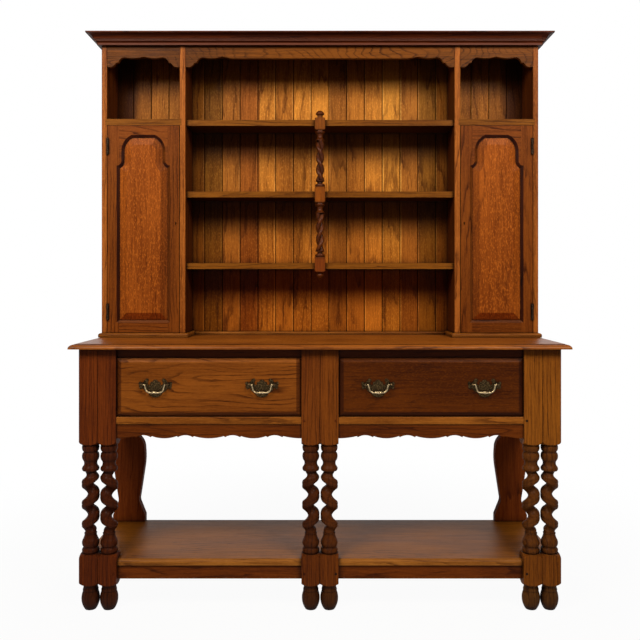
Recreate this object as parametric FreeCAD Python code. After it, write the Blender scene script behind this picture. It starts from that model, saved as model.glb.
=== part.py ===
"""Oak welsh dresser: a potboard base with twisted legs, two drawers and a plate rack with two cupboards.

Millimetres. X runs left to right, Y front to back and Z up; the origin is on the floor, under the middle of
the worktop. Left-hand pieces are modelled and mirrored in X for the right.
"""
import FreeCAD, Part
import math
import os

Vector = FreeCAD.Vector

# Base, overall
BASE_WIDTH = 1530.0
BASE_DEPTH = 440.0
WORKTOP_HEIGHT = 850.0
WORKTOP_THICKNESS = 16.0
SIDE_OVERHANG = 27.5
FRONT_OVERHANG = 25.0
BACK_OVERHANG = 15.0
EDGE_WIDTH = 17.0
EDGE_NOSE = 5.0
EDGE_QUIRK = 2.0

# Front legs: square blocks, turned stretches and a single twist
LEG_WIDTH = 59.0
LEG_CHAMFER = 1.2
POMMEL_HEIGHT = 23.0
POMMEL_INSET = 2.0
FOOT_HEIGHT = 80.0
FOOT_NECK_HEIGHT = 20.0
FOOT_INSET = 1.0
FOOT_NECK_INSET = 6.5
FOOT_RING_HEIGHT = 4.0
FOOT_RING_STAND = 1.5
FOOT_COVE_INSET = 0.5
FOOT_TOP_FLARE = 1.5
FOOT_SOLE_INSET = 12.0
BEAD_INSET = 2.4
NECK_INSET = 7.4
SCOTIA_INSET = 1.8
WAIST_INSET = 1.8
BEAD_HEIGHT = 21.0
BASE_BEAD_HEIGHT = 16.0
COVE_HEIGHT = 6.5
BALL_HEIGHT = 22.0
SCOTIA_HEIGHT = 22.0
LIP_HEIGHT = 13.0
BELL_LIP_HEIGHT = 20.0
BELL_HEIGHT = 38.0
BELL_SWEEP_SHARE = 0.35
COLLAR_HEIGHT = 4.0
COLLAR_STAND = 1.5
TWIST_TURNS = 3
TWIST_INSET = 2.4
TWIST_STRAND_RADIUS = 18.0
TWIST_END_RADIUS = 17.0
TWIST_STRETCH_RATIO = 1.35
TWIST_START_ANGLE = 68.0
TWIST_FADE_RATIO = 0.35
TWIST_SECTION_COUNT = 12

# Rear legs: planks with a vase outline
REAR_LEG_THICKNESS = 31.0
REAR_LEG_FLARE_SHARE = 0.062
REAR_LEG_NECK_LOW_SHARE = 0.180
REAR_LEG_NECK_HIGH_SHARE = 0.2365
REAR_LEG_TAPER_SHARE = 0.509
REAR_LEG_SHOULDER_SHARE = 0.8046
REAR_LEG_BLOCK_SHARE = 0.8509
REAR_LEG_NECK_INSET = 19.5
REAR_LEG_NECK_EASE = 1.0
REAR_LEG_TAPER_INSET = 3.5
REAR_LEG_BELLY_INSET = 1.5
REAR_LEG_ROUND_INSET = 7.5
REAR_LEG_LIP = 3.0

# Rails, aprons and panels of the base
TOP_RAIL_HEIGHT = 29.0
TOP_RAIL_SETBACK = 12.0
DRAWER_OPENING = 187.0
DRAWER_RAIL_HEIGHT = 25.0
DRAWER_RAIL_SETBACK = 2.0
DRAWER_RAIL_ROUND = 4.0
APRON_HEIGHT = 44.0
APRON_THICKNESS = 18.0
APRON_SETBACK = 6.0
APRON_LOBE = 80.0
APRON_CENTRE_LOBE = 96.0
APRON_HOLLOW = 54.0
APRON_LOBE_DEPTH = 7.0
APRON_TICK_WIDTH = 3.0
APRON_TICK_DEPTH = 3.5
APRON_CROWN = 10.0
BLOCK_BELOW_APRON = 22.0
PANEL_THICKNESS = 18.0
PANEL_INSET = 4.0
RUNNER_WIDTH = 30.0
RUNNER_THICKNESS = 18.0
GUIDE_WIDTH = 15.0
GUIDE_HEIGHT = 30.0
KICKER_WIDTH = 50.0
TENON_LENGTH = 18.0
TENON_SHOULDER = 5.0
PEG_RADIUS = 3.5
PEG_INSET = 9.0
PEG_LENGTH = 40.0
PEG_PROUD = 0.6
PEG_CLEARANCE = 0.05

# Potboard
BLOCK_BELOW_RAIL = 18.0
LOWER_RAIL_HEIGHT = 44.0
LOWER_RAIL_THICKNESS = 22.0
LOWER_RAIL_SETBACK = 20.0
POTBOARD_THICKNESS = 19.0
POTBOARD_SETBACK = 14.0
POTBOARD_BACK_GAP = 12.0
POTBOARD_EDGE_WIDTH = 12.0
POTBOARD_NOSE = 7.0
BLOCK_ABOVE_POTBOARD = 19.0
BEARER_WIDTH = 44.0

# Drawers
DRAWER_GAP = 1.5
DRAWER_FACE_SETBACK = 1.0
DRAWER_BEVEL_DEPTH = 6.5
DRAWER_BEVEL_WIDTH = 11.5
DRAWER_FRONT_THICKNESS = 17.0
DRAWER_SIDE_THICKNESS = 11.0
DRAWER_SIDE_HEIGHT = 165.0
DRAWER_LAP = 11.0
DRAWER_BOTTOM_THICKNESS = 6.0
DRAWER_BOTTOM_LIFT = 12.0
DRAWER_GROOVE = 5.0
DRAWER_BACK_GAP = 6.0
DOVETAILS = 4
DOVETAIL_SLOPE = 3.0
RUNNING_GAP = 0.3

# Drawer handles
HANDLE_OFFSET = 169.0
HANDLE_RISE = -0.5
PLATE_WIDTH = 105.0
PLATE_HEIGHT = 60.0
PLATE_THICKNESS = 1.6
POST_SPACING = 80.0
POST_RISE = 11.0
POST_RADIUS = 4.5
POST_STAND = 12.5
POST_HEAD_RADIUS = 5.2
SHANK_RADIUS = 2.8
SHANK_END = 3.0
SHANK_CLEARANCE = 0.3
NUT_CLEARANCE = 0.05
NUT_RADIUS = 7.0
NUT_HEIGHT = 5.0
BAIL_RADIUS = 2.6
BAIL_PIN_RADIUS = 2.1
BAIL_PIN_CLEARANCE = 0.05
BAIL_END_GAP = 0.4
BAIL_DROP = 25.0
BAIL_BOTTOM_HALF = 25.0
BAIL_CORNER = 3.0
BAIL_BEND = 11.0
BAIL_GRIP_RADIUS = 4.3
BAIL_GRIP_HALF = 10.0

# Plate rack
RACK_SETBACK = 19.5
RACK_DEPTH = 167.0
RACK_SIDE = 19.0
PARTITION = 21.0
EDGE_EASE = 1.5
CUPBOARD_WIDTH = 257.0
PLINTH_HEIGHT = 15.0
PLINTH_PROJECTION = 10.0
PLINTH_NOSE = 8.0
PLINTH_FILLET = 3.0
DOOR_HEIGHT = 734.0
NICHE_FLOOR = 22.0
NICHE_HEIGHT = 258.0
HOUSING = 6.0
CUPBOARD_SHELF = 16.0
CUPBOARD_SHELF_DROP = 346.0
CUPBOARD_SHELF_SETBACK = 45.0
SHELF_THICKNESS = 21.0
SHELF_SPACING = 255.0
SHELF_SETBACK = 17.0
BOARD_COUNT = 23
BOARD_THICKNESS = 12.0
BOARD_REBATE = 10.0
BOARD_VEE = 2.5
TONGUE_LENGTH = 5.0
TONGUE_THICKNESS = 4.0
TONGUE_CLEARANCE = 0.3
BACK_BEAD_HEIGHT = 11.0
BACK_BEAD_DEPTH = 10.0
RACK_TOP = 18.0

# Frieze boards, along one end of the shaped edge
FRIEZE_HEIGHT = 74.0
FRIEZE_THICKNESS = 16.0
FRIEZE_SETBACK = 2.0
FRIEZE_NIB = 14.0
FRIEZE_OGEE = 17.0
FRIEZE_OGEE_RISE = 15.0
FRIEZE_STEP = 9.0
FRIEZE_STEP_RISE = 2.0
FRIEZE_CURVE = 24.0
FRIEZE_CURVE_RISE = 17.5
FRIEZE_CUSP_RISE = 3.5
FRIEZE_SAG = 4.5
FRIEZE_FALL = 48.0

# Cornice
CORNICE_HEIGHT = 40.0
CORNICE_PROJECTION = 45.0
CORNICE_FOOT = 13.0
CORNICE_FILLET = 5.7
CORNICE_COVE = 7.5
CORNICE_STEP = 3.5
CORNICE_LIP = 4.8

# Shelf baluster
BALUSTER_BLOCK = 37.0
BALUSTER_LAP = 19.0
BALUSTER_ABOVE = (6.0, 16.0, 22.0)
BALUSTER_BELOW = (17.0, 20.0, 10.0)
BALUSTER_POMMEL = 6.0
BALUSTER_RADIUS_INSET = 3.5
BALUSTER_NECK_INSET = 9.0
BALUSTER_COLLAR = 0.8
BALUSTER_FILLET = 3.0
BALUSTER_RING = 10.0
BALUSTER_VASE = 26.0
BALUSTER_FOOT = 22.0
BALUSTER_CAP = 27.0
BALUSTER_DROP = 25.0
BALUSTER_LEAD = 85.0
BALUSTER_STRAND_RADIUS = 8.6
BALUSTER_SECTION_COUNT = 18

# Cupboard doors
DOOR_GAP = 1.2
DOOR_THICKNESS = 20.0
STILE_WIDTH = 32.5
BOTTOM_RAIL = 36.0
TOP_RAIL = 33.0
ARCH_RADIUS = 62.5
ARCH_RISE = 57.0
ARCH_DROP = 35.0
ARCH_EAR = 17.0
DOOR_MOULDING = 8.5
DOOR_MOULDING_DEPTH = 5.0
PANEL_BEVEL = 26.0
PANEL_FIELD_SETBACK = 2.0
PANEL_EDGE_SETBACK = 8.0
PANEL_TONGUE_THICKNESS = 7.0
PANEL_CLEARANCE = 0.3
DOOR_TENON = 20.0
DOOR_TENON_ROOT = 8.0

# Hinges and locks
HINGE_HEIGHT = 57.0
HINGE_INSET = 74.0
KNUCKLE_RADIUS = 3.5
KNUCKLE_STAND = 0.3
KNUCKLE_GAP = 0.15
HINGE_PIN_RADIUS = 1.5
HINGE_PIN_CLEARANCE = 0.05
LEAF_THICKNESS = 1.5
LEAF_WIDTH = 17.0
KEYHOLE_INSET = 12.4
KEYHOLE_DROP = 345.0
KEYHOLE_RADIUS = 2.8
KEYHOLE_SLOT = 2.6
KEYHOLE_LENGTH = 8.0
LOCK_WIDTH = 30.0
LOCK_HEIGHT = 46.0
LOCK_DEPTH = 9.0
BOLT_THICKNESS = 4.5
BOLT_HEIGHT = 12.0
BOLT_LENGTH = 24.0
BOLT_THROW = 8.0
BOLT_CLEARANCE = 0.2
MORTISE_CLEARANCE = 0.8

# Places in X
HALF_BASE = BASE_WIDTH / 2
HALF_TOP = HALF_BASE + SIDE_OVERHANG
BAY_OUTER = HALF_BASE - 2 * LEG_WIDTH
BAY_INNER = LEG_WIDTH
BAY_CENTRE = (BAY_OUTER + BAY_INNER) / 2
HALF_RACK = HALF_TOP - RACK_SETBACK
CUPBOARD_OUTER = HALF_RACK - RACK_SIDE
CUPBOARD_INNER = CUPBOARD_OUTER - CUPBOARD_WIDTH
RACK_BAY = CUPBOARD_INNER - PARTITION

# Places in Y
DEPTH = FRONT_OVERHANG + BASE_DEPTH + BACK_OVERHANG
FRONT = -DEPTH / 2
BACK = DEPTH / 2
LEG_FRONT = FRONT + FRONT_OVERHANG
LEG_BACK = LEG_FRONT + LEG_WIDTH
BASE_BACK = LEG_FRONT + BASE_DEPTH
REAR_LEG_FRONT = BASE_BACK - REAR_LEG_THICKNESS
PANEL_BACK = BASE_BACK - PANEL_INSET
PANEL_FRONT = PANEL_BACK - PANEL_THICKNESS
POTBOARD_BACK = BASE_BACK - POTBOARD_BACK_GAP
RACK_FRONT = BACK - RACK_DEPTH
BOARD_FRONT = BACK - BOARD_THICKNESS
SHELF_FRONT = RACK_FRONT + SHELF_SETBACK
DOOR_BACK = RACK_FRONT + DOOR_THICKNESS
DRAWER_FACE = LEG_FRONT + DRAWER_FACE_SETBACK
DRAWER_EDGE = DRAWER_FACE + DRAWER_BEVEL_DEPTH
DRAWER_FRONT_BACK = DRAWER_EDGE + DRAWER_FRONT_THICKNESS

# Places in Z
LOWER_RAIL_BOTTOM = FOOT_HEIGHT + BLOCK_BELOW_RAIL
POTBOARD_BOTTOM = LOWER_RAIL_BOTTOM + LOWER_RAIL_HEIGHT
POTBOARD_TOP = POTBOARD_BOTTOM + POTBOARD_THICKNESS
LOWER_BLOCK_TOP = POTBOARD_TOP + BLOCK_ABOVE_POTBOARD
WORKTOP_BOTTOM = WORKTOP_HEIGHT - WORKTOP_THICKNESS
DRAWER_TOP = WORKTOP_BOTTOM - TOP_RAIL_HEIGHT
DRAWER_BOTTOM = DRAWER_TOP - DRAWER_OPENING
DRAWER_RAIL_BOTTOM = DRAWER_BOTTOM - DRAWER_RAIL_HEIGHT
APRON_BOTTOM = DRAWER_RAIL_BOTTOM - APRON_HEIGHT
UPPER_BLOCK_BOTTOM = APRON_BOTTOM - BLOCK_BELOW_APRON
DOOR_BOTTOM = WORKTOP_HEIGHT + PLINTH_HEIGHT + DOOR_GAP
DOOR_TOP = DOOR_BOTTOM + DOOR_HEIGHT
NICHE_BOTTOM = DOOR_TOP + DOOR_GAP
NICHE_TOP = NICHE_BOTTOM + NICHE_FLOOR
RACK_UNDER_TOP = NICHE_TOP + NICHE_HEIGHT
SHELF_TOPS = [NICHE_TOP - i * SHELF_SPACING for i in range(3)]
HANDLE_HEIGHT = (DRAWER_BOTTOM + DRAWER_TOP) / 2 + HANDLE_RISE
POST_HEIGHT = HANDLE_HEIGHT + POST_RISE
KEYHOLE_HEIGHT = DOOR_TOP - KEYHOLE_DROP


def on_xy(u, v):
    return Vector(u, v, 0)


def on_xz(u, v):
    return Vector(u, 0, v)


def on_yz(u, v):
    return Vector(0, u, v)


NORMALS = {on_xy: Vector(0, 0, 1), on_xz: Vector(0, 1, 0), on_yz: Vector(1, 0, 0)}


def box(x0, x1, y0, y1, z0, z1):
    """A block between two corners."""
    return Part.makeBox(x1 - x0, y1 - y0, z1 - z0, Vector(x0, y0, z0))


def outline(plane, steps):
    """A closed wire; each step is a point to draw a line to, or (via, end) to draw an arc to."""
    edges = []
    here = steps[0]
    for step in steps[1:] + [steps[0]]:
        if isinstance(step[0], tuple):
            via, end = step
            edges.append(Part.Arc(plane(*here), plane(*via), plane(*end)).toShape())
        else:
            end = step
            if math.dist(here, end) > 1e-7:
                edges.append(Part.makeLine(plane(*here), plane(*end)))
        here = end
    return Part.Wire(edges)


def slab(plane, steps, low, high):
    """An outline extruded square to its plane, between two places on the third axis."""
    normal = NORMALS[plane]
    solid = Part.Face(outline(plane, steps)).extrude(normal * (high - low))
    solid.translate(normal * low)
    return solid


def turned(steps):
    """A solid of revolution about Z from steps of (radius, height) that start and end on the axis."""
    return Part.Face(outline(on_xz, steps)).revolve(Vector(0, 0, 0), Vector(0, 0, 1), 360)


def cylinder(radius, start, end):
    """A round bar between two points."""
    along = end - start
    return Part.makeCylinder(radius, along.Length, start, along)


def joined(shapes):
    """One solid from shapes that meet."""
    return shapes[0].multiFuse(shapes[1:]).removeSplitter()


def moved(shape, x=0.0, y=0.0, z=0.0):
    copy = shape.copy()
    copy.translate(Vector(x, y, z))
    return copy


def mirrored(shape):
    return shape.mirror(Vector(0, 0, 0), Vector(1, 0, 0))


def both(shapes):
    """The shapes and their mirror images."""
    return shapes + [mirrored(shape) for shape in shapes]


def save(node, shapes):
    """Write one node; several shapes make a group of separate solids."""
    solids = []
    for shape in shapes:
        solids.extend(shape.Solids)
    shape = solids[0] if len(solids) == 1 else Part.makeCompound(solids)
    shape.exportStep("parts/" + node + ".step")


def save_pair(node, shapes):
    """Write a left-hand node and its mirror image; {} in the name takes the side."""
    save(node.format("left"), shapes)
    save(node.format("right"), [mirrored(shape) for shape in shapes])


def tenoned(x0, x1, y0, y1, z0, z1, along):
    """A rail with a stub tenon on each end, set in from its faces by the shoulder."""
    body = box(x0, x1, y0, y1, z0, z1)
    lap_x = TENON_LENGTH if along == "x" else -TENON_SHOULDER
    lap_y = TENON_LENGTH if along == "y" else -TENON_SHOULDER
    core = box(x0 - lap_x, x1 + lap_x, y0 - lap_y, y1 + lap_y, z0 + TENON_SHOULDER, z1 - TENON_SHOULDER)
    return joined([body, core])


def thumbnail(edge, bottom, top, width, nose, quirk):
    """The moulded edge of a board that ends at the low side: a nose, an ovolo and a small step."""
    spread = math.sqrt(0.5)
    via = (edge + width * (1 - spread), bottom + nose + (top - quirk - bottom - nose) * spread)
    return [(edge, bottom), (edge, bottom + nose), (via, (edge + width, top - quirk)), (edge + width, top)]


def reflected(steps):
    """The points of a thumbnail edge, for the other end of the board."""
    edge, nose, (via, quirk), top = steps
    return [(-top[0], top[1]), (-quirk[0], quirk[1]), ((-via[0], via[1]), (-nose[0], nose[1])),
            (-edge[0], edge[1])]


def worktop():
    """The moulded front and the moulded ends are two prisms; the board is what they share."""
    ends = thumbnail(-HALF_TOP, WORKTOP_BOTTOM, WORKTOP_HEIGHT, EDGE_WIDTH, EDGE_NOSE, EDGE_QUIRK)
    lengthways = slab(on_xz, ends + reflected(ends), FRONT, BACK)
    front = thumbnail(FRONT, WORKTOP_BOTTOM, WORKTOP_HEIGHT, EDGE_WIDTH, EDGE_NOSE, EDGE_QUIRK)
    across = slab(on_yz, front + [(BACK, WORKTOP_HEIGHT), (BACK, WORKTOP_BOTTOM)], -HALF_TOP, HALF_TOP)
    return lengthways.common(across)


def chamfered_square(half, chamfer):
    near = half - chamfer
    return [(-near, -half), (near, -half), (half, -near), (half, near),
            (near, half), (-near, half), (-half, near), (-half, -near)]


def pommel_block(width, chamfer, pommel, inset, bottom, top, round_top):
    """A square block whose end is turned to a shoulder where the round work starts."""
    half = width / 2
    end = half - inset
    reach = half * math.sqrt(2) + inset
    bulge = end + (reach - end) * 0.75
    steps = [(0, bottom), (end, bottom), ((bulge, bottom + pommel * 0.4), (reach, bottom + pommel))]
    if round_top:
        steps += [(reach, top - pommel), ((bulge, top - pommel * 0.4), (end, top)), (0, top)]
    else:
        steps += [(reach, top), (0, top)]
    return slab(on_xy, chamfered_square(half, chamfer), bottom, top).common(turned(steps))


def strand_section(height, angle, offset, across, along):
    """One level of the twist: an oval beside the axis, drawn as four arcs."""
    points = []
    for k in range(8):
        u = offset + across * math.cos(k * math.pi / 4)
        v = along * math.sin(k * math.pi / 4)
        points.append(Vector(u * math.cos(angle) - v * math.sin(angle),
                             u * math.sin(angle) + v * math.cos(angle), height))
    arcs = [Part.Arc(points[k], points[k + 1], points[(k + 2) % 8]).toShape() for k in (0, 2, 4, 6)]
    return Part.Wire(arcs)


def single_twist(bottom, top):
    """A lofted strand that winds round the leg's axis and runs out to a plain round at both ends."""
    offset = LEG_WIDTH / 2 - TWIST_INSET - TWIST_STRAND_RADIUS
    count = TWIST_TURNS * TWIST_SECTION_COUNT
    wires = []
    for i in range(count + 1):
        share = i / count
        ramp = min(1.0, min(share, 1 - share) * TWIST_TURNS / TWIST_FADE_RATIO)
        fade = ramp * ramp * (3 - 2 * ramp)
        radius = TWIST_END_RADIUS + (TWIST_STRAND_RADIUS - TWIST_END_RADIUS) * fade
        angle = math.radians(TWIST_START_ANGLE) - 2 * math.pi * TWIST_TURNS * (1 - share)
        stretch = 1 + (TWIST_STRETCH_RATIO - 1) * fade
        height = bottom + (top - bottom) * share
        wires.append(strand_section(height, angle, offset * fade, radius, radius * stretch))
    return Part.makeLoft(wires, True, False)


def bead(low, high, near, far):
    """Arc of a bead that swells from one radius to another."""
    return ((far, (low + high) / 2), (near, high))


def dome_via(radius, foot, crown):
    """A point halfway along the arc of a dome that is centred on the axis."""
    height = abs(crown - foot)
    sphere = (radius ** 2 + height ** 2) / (2 * height)
    angle = math.atan2(radius, sphere - height) / 2
    down = math.copysign(sphere * (1 - math.cos(angle)), crown - foot)
    return (sphere * math.sin(angle), crown - down)


def turned_leg():
    """One front leg about its own axis, with a twist that climbs to the right across the front."""
    half = LEG_WIDTH / 2
    large = half - BEAD_INSET
    neck = half - NECK_INSET
    rim = (large + neck) / 2
    hollow = neck - SCOTIA_INSET

    top = UPPER_BLOCK_BOTTOM
    ball_top = top - BEAD_HEIGHT - COVE_HEIGHT
    ball_bottom = ball_top - BALL_HEIGHT
    lip_top = ball_bottom - SCOTIA_HEIGHT
    twist_top = lip_top - LIP_HEIGHT
    upper = turned([(0, twist_top), (rim, twist_top), bead(twist_top, lip_top, rim, large),
                    ((hollow, (lip_top + ball_bottom) / 2), (rim, ball_bottom)),
                    bead(ball_bottom, ball_top, rim, large),
                    ((neck, ball_top + COVE_HEIGHT / 2), (rim, ball_top + COVE_HEIGHT)),
                    bead(ball_top + COVE_HEIGHT, top, rim, large), (0, top)])

    base = LOWER_BLOCK_TOP
    base_bead = base + BASE_BEAD_HEIGHT
    bell_bottom = base_bead + COVE_HEIGHT
    bell_lip = bell_bottom + BELL_LIP_HEIGHT
    bell_top = bell_bottom + BELL_HEIGHT
    twist_bottom = bell_top + COLLAR_HEIGHT
    waist = hollow - WAIST_INSET
    sweep = waist + (rim - waist) * BELL_SWEEP_SHARE
    lower = turned([(0, base), (rim, base), bead(base, base_bead, rim, large),
                    ((neck, base_bead + COVE_HEIGHT / 2), (rim, bell_bottom)),
                    bead(bell_bottom, bell_lip, rim, large),
                    ((sweep, (bell_lip + bell_top) / 2), (waist, bell_top)),
                    bead(bell_top, twist_bottom, waist, waist + COLLAR_STAND), (0, twist_bottom)])

    foot_top = FOOT_HEIGHT
    foot_neck = foot_top - FOOT_NECK_HEIGHT
    collar = half - FOOT_NECK_INSET
    ring = collar + FOOT_RING_STAND
    ring_top = foot_neck + FOOT_RING_HEIGHT
    foot = turned([(0, 0), (half - FOOT_SOLE_INSET, 0),
                   ((half - FOOT_INSET, foot_neck * 0.5), (collar, foot_neck)),
                   (ring, foot_neck), (ring, ring_top),
                   ((collar - FOOT_COVE_INSET, (ring_top + foot_top) / 2), (collar + FOOT_TOP_FLARE, foot_top)),
                   (0, foot_top)])

    upper_block = pommel_block(LEG_WIDTH, LEG_CHAMFER, POMMEL_HEIGHT, POMMEL_INSET, top, WORKTOP_BOTTOM, False)
    lower_block = pommel_block(LEG_WIDTH, LEG_CHAMFER, POMMEL_HEIGHT, POMMEL_INSET, foot_top, base, True)
    return joined([upper_block, upper, single_twist(twist_bottom, twist_top), lower, lower_block, foot])


def rear_leg():
    """The left rear leg: a plank with a vase outline, square above the apron and below the potboard.

    The levels of the vase are shares of the clear height between the potboard and the apron.
    """
    half = LEG_WIDTH
    clear = APRON_BOTTOM - POTBOARD_TOP
    neck = half - REAR_LEG_NECK_INSET
    flare = POTBOARD_TOP + clear * REAR_LEG_FLARE_SHARE
    neck_low = POTBOARD_TOP + clear * REAR_LEG_NECK_LOW_SHARE
    neck_high = POTBOARD_TOP + clear * REAR_LEG_NECK_HIGH_SHARE
    taper_top = POTBOARD_TOP + clear * REAR_LEG_TAPER_SHARE
    shoulder = POTBOARD_TOP + clear * REAR_LEG_SHOULDER_SHARE
    block = POTBOARD_TOP + clear * REAR_LEG_BLOCK_SHARE
    belly = taper_top + (shoulder - taper_top) * 0.62
    neck_via = (neck - REAR_LEG_NECK_EASE, neck_low + (neck_high - neck_low) * 0.36)
    belly_via = (half, taper_top + (belly - taper_top) * 0.6)
    round_via = (half - REAR_LEG_ROUND_INSET, belly + (shoulder - belly) * 0.62)
    lip_via = (neck + REAR_LEG_LIP, (shoulder + block) / 2)
    foot_corner = (half, 0)
    flare_end = (half, flare)
    neck_start = (neck + REAR_LEG_NECK_EASE, neck_low)
    neck_end = (neck, neck_high)
    taper_end = (half - REAR_LEG_TAPER_INSET, taper_top)
    belly_end = (half - REAR_LEG_BELLY_INSET, belly)
    shoulder_end = (neck, shoulder)
    block_end = (half, block)
    top_corner = (half, WORKTOP_BOTTOM)

    def flip(point):
        return (-point[0], point[1])

    right = [foot_corner, flare_end, neck_start, (neck_via, neck_end), taper_end, (belly_via, belly_end),
             (round_via, shoulder_end), (lip_via, block_end), top_corner]
    left = [flip(top_corner), flip(block_end), (flip(lip_via), flip(shoulder_end)),
            (flip(round_via), flip(belly_end)), (flip(belly_via), flip(taper_end)), flip(neck_end),
            (flip(neck_via), flip(neck_start)), flip(flare_end), flip(foot_corner)]
    return moved(slab(on_xz, right + left, REAR_LEG_FRONT, BASE_BACK), x=-(HALF_BASE - half))


def scallops(start, end):
    """Points along the apron's lower edge: lobes, small ticks and hollows, even about the bay's middle."""
    middle = (start + end) / 2
    low = APRON_BOTTOM
    lobe = low + APRON_LOBE_DEPTH
    tick = low + APRON_TICK_DEPTH
    crown = low + APRON_CROWN
    marks = [APRON_CENTRE_LOBE / 2]
    for width in (APRON_HOLLOW, APRON_LOBE, APRON_HOLLOW):
        marks.append(marks[-1] + width)
    inner, hollow_end, lobe_end, outer = marks

    def lobe_to(x0, x1):
        return (((x0 + x1) / 2, low), (x1, lobe))

    def hollow_to(x0, x1):
        return [(x0 + APRON_TICK_WIDTH, tick),
                (((x0 + x1) / 2, crown), (x1 - APRON_TICK_WIDTH, tick)), (x1, lobe)]

    ease = low + APRON_LOBE_DEPTH * 0.25
    steps = [(start, low), (((start + middle - outer) / 2, ease), (middle - outer, lobe))]
    steps += hollow_to(middle - outer, middle - lobe_end)
    steps += [lobe_to(middle - lobe_end, middle - hollow_end)]
    steps += hollow_to(middle - hollow_end, middle - inner)
    steps += [lobe_to(middle - inner, middle + inner)]
    steps += hollow_to(middle + inner, middle + hollow_end)
    steps += [lobe_to(middle + hollow_end, middle + lobe_end)]
    steps += hollow_to(middle + lobe_end, middle + outer)
    steps += [(((end + middle + outer) / 2, ease), (end, low))]
    return steps


def left_apron():
    """A scalloped board between two legs, tenoned into both."""
    front = LEG_FRONT + APRON_SETBACK
    steps = scallops(-BAY_OUTER, -BAY_INNER)
    board = slab(on_xz, steps + [(-BAY_INNER, DRAWER_RAIL_BOTTOM), (-BAY_OUTER, DRAWER_RAIL_BOTTOM)],
                 front, front + APRON_THICKNESS)
    tenon = box(-BAY_OUTER - TENON_LENGTH, -BAY_INNER + TENON_LENGTH, front + TENON_SHOULDER,
                front + APRON_THICKNESS - TENON_SHOULDER, APRON_BOTTOM + APRON_CROWN + TENON_SHOULDER,
                DRAWER_RAIL_BOTTOM - TENON_SHOULDER)
    return joined([board, tenon])


def left_drawer_rails():
    """The rail above a drawer and the round-nosed rail below it."""
    top = tenoned(-BAY_OUTER, -BAY_INNER, LEG_FRONT + TOP_RAIL_SETBACK, LEG_BACK, DRAWER_TOP,
                  WORKTOP_BOTTOM, "x")
    front = LEG_FRONT + DRAWER_RAIL_SETBACK
    low = DRAWER_RAIL_BOTTOM
    high = DRAWER_BOTTOM
    ease = DRAWER_RAIL_ROUND
    curve = ease * (1 - math.sqrt(0.5))
    nose = slab(on_yz, [(front, low + ease), (front, high - ease),
                        ((front + curve, high - curve), (front + ease, high)),
                        (LEG_BACK, high), (LEG_BACK, low), (front + ease, low),
                        ((front + curve, low + curve), (front, low + ease))], -BAY_OUTER, -BAY_INNER)
    core = box(-BAY_OUTER - TENON_LENGTH, -BAY_INNER + TENON_LENGTH, LEG_FRONT + TOP_RAIL_SETBACK,
               LEG_BACK - TENON_SHOULDER, low + TENON_SHOULDER, high - TENON_SHOULDER)
    return [top, joined([nose, core])]


def left_runners():
    """Two L-shaped drawer runners with guides, and the kicker that keeps an open drawer level."""
    low = DRAWER_BOTTOM - RUNNER_THICKNESS
    high = DRAWER_BOTTOM + GUIDE_HEIGHT
    outer = slab(on_xz, [(-BAY_OUTER - GUIDE_WIDTH, low), (-BAY_OUTER + RUNNER_WIDTH, low),
                         (-BAY_OUTER + RUNNER_WIDTH, DRAWER_BOTTOM), (-BAY_OUTER, DRAWER_BOTTOM),
                         (-BAY_OUTER, high), (-BAY_OUTER - GUIDE_WIDTH, high)], LEG_BACK, REAR_LEG_FRONT)
    inner = slab(on_xz, [(-BAY_INNER - RUNNER_WIDTH, low), (-BAY_INNER + GUIDE_WIDTH, low),
                         (-BAY_INNER + GUIDE_WIDTH, high), (-BAY_INNER, high), (-BAY_INNER, DRAWER_BOTTOM),
                         (-BAY_INNER - RUNNER_WIDTH, DRAWER_BOTTOM)], LEG_BACK, PANEL_FRONT)
    kicker = box(-BAY_CENTRE - KICKER_WIDTH / 2, -BAY_CENTRE + KICKER_WIDTH / 2, LEG_BACK, PANEL_FRONT,
                 DRAWER_TOP, WORKTOP_BOTTOM)
    return [outer, inner, kicker]


def potboard():
    """One board, notched round the leg blocks, with a moulded edge between them."""
    side = HALF_BASE - PANEL_INSET
    middle = box(-side, side, LEG_BACK, REAR_LEG_FRONT, POTBOARD_BOTTOM, POTBOARD_TOP)
    rear = box(-BAY_OUTER, BAY_OUTER, REAR_LEG_FRONT, POTBOARD_BACK, POTBOARD_BOTTOM, POTBOARD_TOP)
    edge = thumbnail(LEG_FRONT + POTBOARD_SETBACK, POTBOARD_BOTTOM, POTBOARD_TOP, POTBOARD_EDGE_WIDTH,
                     POTBOARD_NOSE, 0.0)
    section = edge[:-1] + [(LEG_BACK, POTBOARD_TOP), (LEG_BACK, POTBOARD_BOTTOM)]
    front = slab(on_yz, section, -BAY_OUTER, -BAY_INNER)
    return joined([middle, rear] + both([front]))


def lower_rails():
    """The rails under the potboard: front rails in the bays, then sides, back and a middle bearer."""
    low = LOWER_RAIL_BOTTOM
    high = POTBOARD_BOTTOM
    front_face = LEG_FRONT + LOWER_RAIL_SETBACK
    side_face = HALF_BASE - PANEL_INSET
    back_front = POTBOARD_BACK - LOWER_RAIL_THICKNESS
    front = tenoned(-BAY_OUTER, -BAY_INNER, front_face, front_face + LOWER_RAIL_THICKNESS, low, high, "x")
    side = tenoned(-side_face, -side_face + LOWER_RAIL_THICKNESS, LEG_BACK, REAR_LEG_FRONT, low, high, "y")
    back = tenoned(-BAY_OUTER, BAY_OUTER, back_front, POTBOARD_BACK, low, high, "x")
    bearer = tenoned(-BEARER_WIDTH / 2, BEARER_WIDTH / 2, LEG_BACK, back_front, low, high, "y")
    return both([front, side]) + [back.cut(bearer), bearer]


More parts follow.
